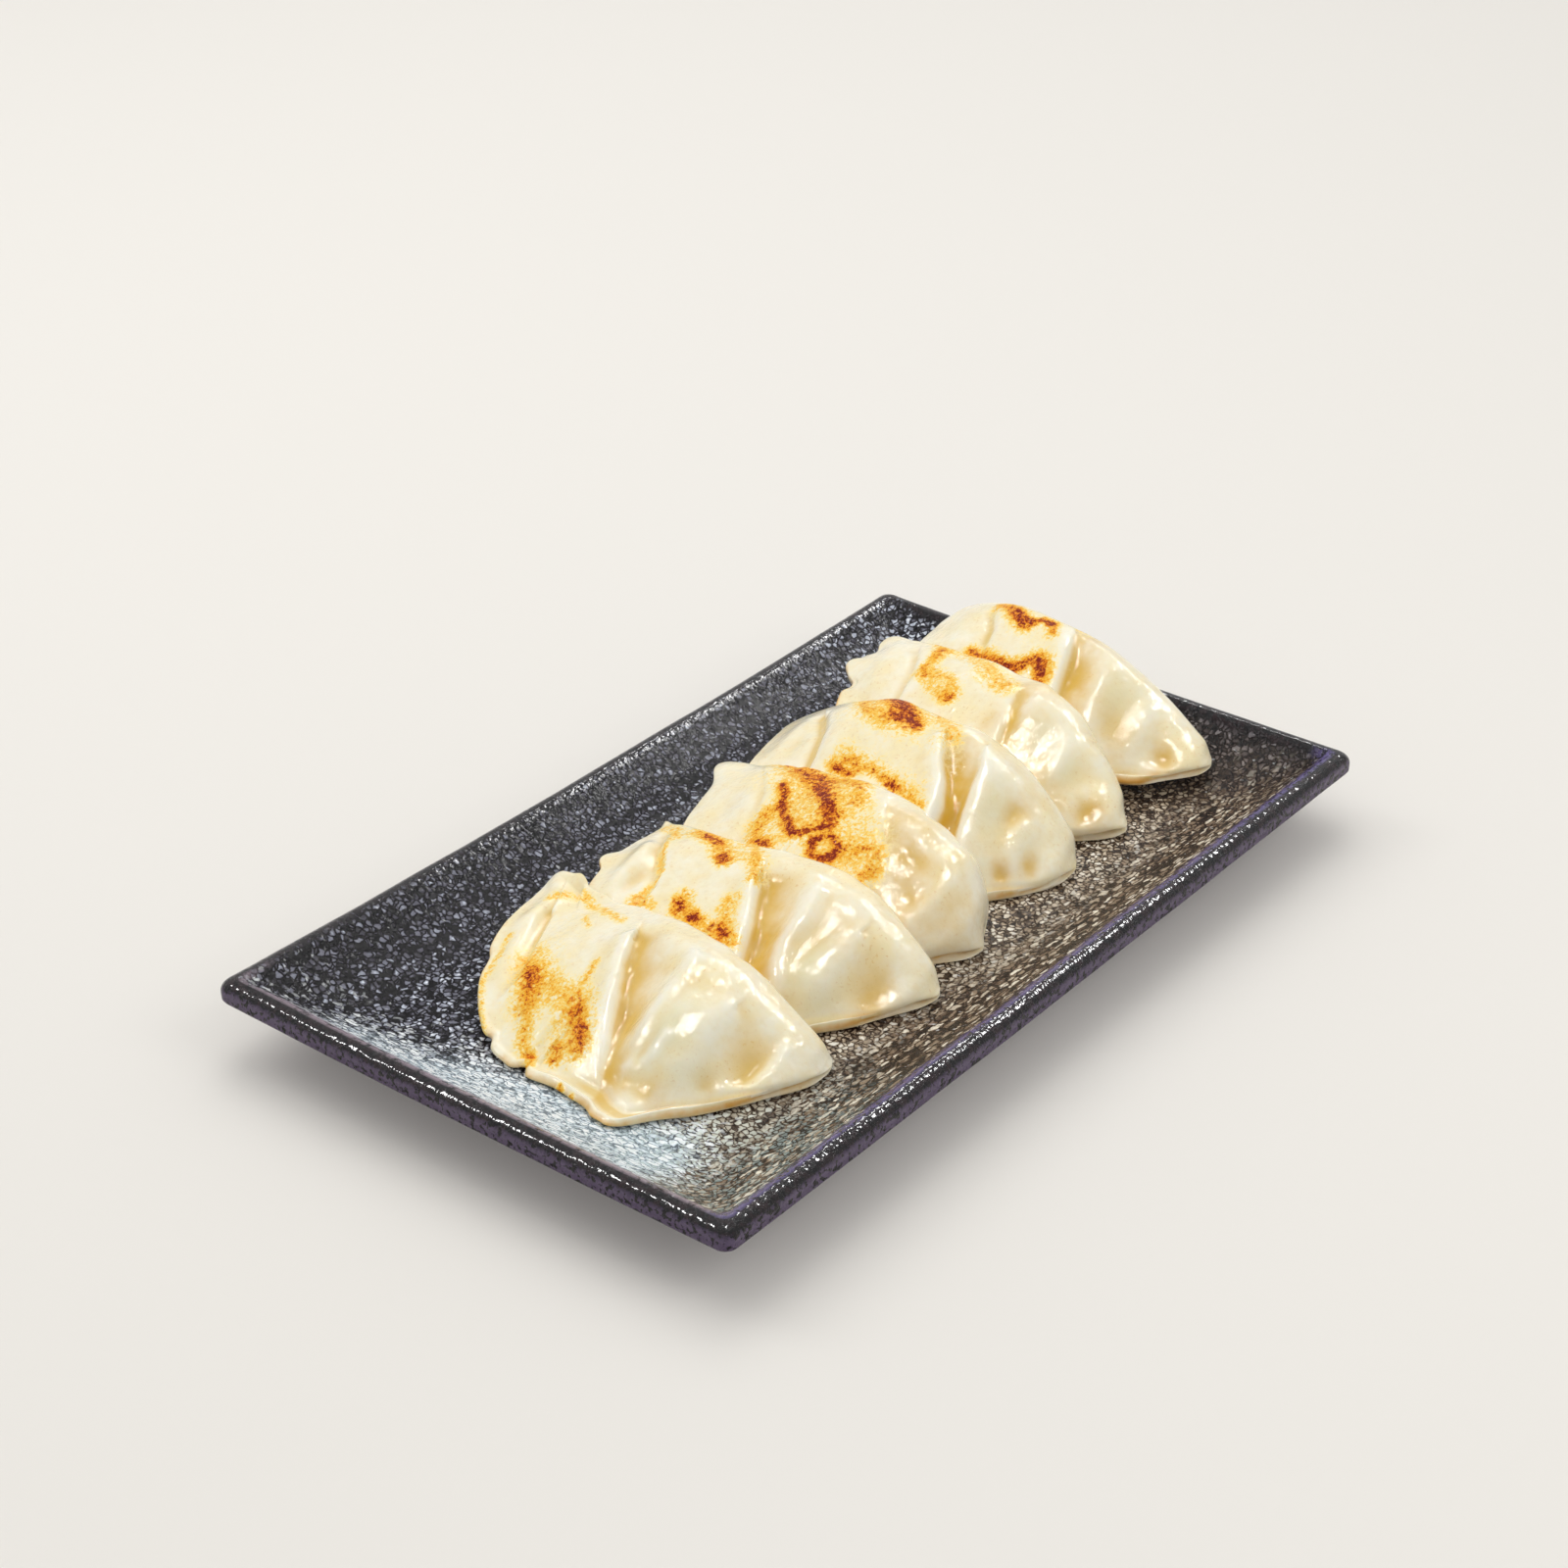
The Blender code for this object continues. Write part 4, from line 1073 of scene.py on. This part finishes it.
def glaze_finish(name):
    """Black glaze with pale flecks, milky where it has run and with a painted reflection on the near slope,
    warm along the front.

    Places are metres. The near end is low x and the front side is low y.
    """
    n = Nodes(name)
    place = n.add("ShaderNodeSeparateXYZ", {0: n.coords})
    x, y = place.outputs[0], place.outputs[1]
    band = n.attribute("band")
    from_near = n.plus(x, HALF_LENGTH * MM)
    from_front = n.plus(y, HALF_WIDTH * MM)
    wander = n.swing(n.noise(55.0), 0.018)
    near = n.plus(from_near, wander)
    front = n.plus(from_front, wander)
    side = n.plus(y, wander)

    # pale flecks on black, darker towards the far front corner and on the back slope
    shake = n.shake(520.0, 0.0017)
    bent = n.shifted(n.coords, shake)
    glass = n.noise(1150.0, rough=0.65, where=bent)
    half_glass = n.swing(glass, 0.5)
    flecks = n.plus(cells(n, bent, 800.0), half_glass)
    corner = n.times(n.ramp(x, 0.062, 0.092), n.ramp(front, 0.070, 0.030))
    dim = n.math("MAXIMUM", corner, n.times(n.ramp(y, 0.018, 0.056), 0.80))
    dark_flecks = n.times(flecks, n.minus(1.0, n.times(dim, 0.55)))
    # painted light: the flecks on the floor near the far end are lifted where the last dumpling casts shade
    painted_light = n.times(n.times(n.ramp(x, 0.060, 0.090), n.ramp(y, -0.010, 0.020)), 0.5)
    dark_flecks = n.times(dark_flecks, n.plus(1.0, painted_light))
    black = n.stops(dark_flecks, BLACK)

    # olive and brown streaks along the front slope, warm flecks on the floor beside them
    lengthwise = n.shifted(n.stretch((0.42, 1.0, 1.0)), shake)
    olive = n.stops(n.plus(cells(n, lengthwise, 760.0), half_glass), OLIVE)
    warm = n.stops(n.times(flecks, n.minus(1.0, n.times(corner, 0.75))), WARM)
    floor_share = n.times(n.ramp(front, 0.084, 0.036), n.ramp(x, 0.110, 0.086))
    slope_share = n.times(n.ramp(front, 0.028, 0.016), n.ramp(x, 0.104, 0.080))
    glaze = n.mix(slope_share, n.mix(floor_share, black, warm), olive)

    # milky run on the near slope, partly glaze and partly a painted reflection: paler cells, which thin out
    # towards the floor
    sideways = n.shifted(n.stretch((1.0, 0.5, 1.0)), shake)
    run = n.plus(cells(n, sideways, 860.0), n.swing(glass, 0.7))
    milk_and_reflection = n.stops(run, MILK_AND_REFLECTION)
    along = n.times(n.ramp(side, 0.085, 0.0), n.ramp(front, 0.014, 0.034))
    reach = n.plus(0.012, n.times(n.ramp(y, 0.055, -0.020), 0.019))
    run_and_reflection_share = n.ramp(n.minus(near, reach), 0.012, -0.012)
    milky = n.plus(n.times(along, run_and_reflection_share), n.times(n.minus(run, 0.35), 0.5))
    glaze = n.mix(n.ramp(milky, 0.25, 0.62), glaze, milk_and_reflection)
    green = n.times(n.ramp(near, 0.070, 0.034), n.ramp(side, 0.0, -0.030))
    green = n.times(green, n.ramp(flecks, 0.05, 0.45))
    glaze = n.mix(n.times(green, 0.45), glaze, (186, 206, 200))

    # lip and outer wall, by the band that the rings carry
    spots = n.ramp(n.noise(900.0, 2.0, 0.5), 0.40, 0.48)
    mauve = n.mix(n.noise(200.0), (72, 58, 82), (98, 84, 110))
    wall = n.mix(spots, (10, 7, 12), mauve)
    lip = n.mix(n.ramp(n.noise(600.0), 0.44, 0.62), (8, 5, 6), (40, 26, 28))
    near_side = n.ramp(from_near, 0.014, 0.007)
    pink_spots = n.times(n.ramp(n.noise(500.0), 0.34, 0.52), near_side)
    pink = n.mix(pink_spots, lip, (158, 140, 150))
    # painted reflection: a violet band on the inner edge of the lip along the front side
    violet_reflection = n.mix(spots, (30, 24, 46), (104, 92, 142))
    inner = n.mix(n.ramp(from_front, 0.009, 0.004), pink, violet_reflection)
    edge = n.mix(n.ramp(n.plus(band, n.swing(glass, 0.03)), 0.362, 0.388), wall, lip)
    edge = n.mix(n.ramp(band, 0.505, 0.53), edge, inner)
    border = n.plus(band, n.swing(glass, 0.06))
    border = n.plus(border, n.times(n.ramp(y, 0.050, 0.056), 0.04))
    n.feed("Base Color", n.mix(n.ramp(border, 0.55, 0.59), edge, glaze))
    n.shader.inputs["Roughness"].default_value = 0.26
    n.shader.inputs["Specular IOR Level"].default_value = 0.12
    lip_share = n.times(n.ramp(band, 0.34, 0.38), n.ramp(band, 0.56, 0.52))
    n.feed("Coat Weight", n.plus(0.06, n.times(lip_share, 0.6)))
    n.shader.inputs["Coat Roughness"].default_value = 0.08
    relief = n.plus(n.times(flecks, 0.6), n.times(glass, 0.5))
    n.feed("Normal", n.bump(relief, 0.0006, 0.6))
    n.feed("Coat Normal", n.bump(n.noise(760.0, 1.0, 0.5), 0.0005, 0.35))
    return n.material


# %% [markdown]
# ## The row
# The farthest dumpling is laid first, on the plate alone. Each one before it leans on the one
# just laid, so its underside follows that neighbour with a small gap.

# %% Put the pieces together
plate_mesh = build_plate()
plate_tree = BVHTree.FromBMesh(plate_mesh)
finish_piece("plate_glazed", plate_mesh, glaze_finish("plate glaze"), "plate")
plate_mesh.free()

leaned_on = None
for entry in reversed(DUMPLINGS):
    under = [(plate_tree, REST_GAP)]
    if leaned_on is not None:
        under.append((leaned_on, LEAN_GAP))
    dumpling = build_dumpling(entry, under)
    leaned_on = BVHTree.FromBMesh(dumpling)
    finish = dough_finish(entry["name"] + " dough")
    finish_piece(entry["name"] + "_dough", dumpling, finish, entry["name"])
    dumpling.free()
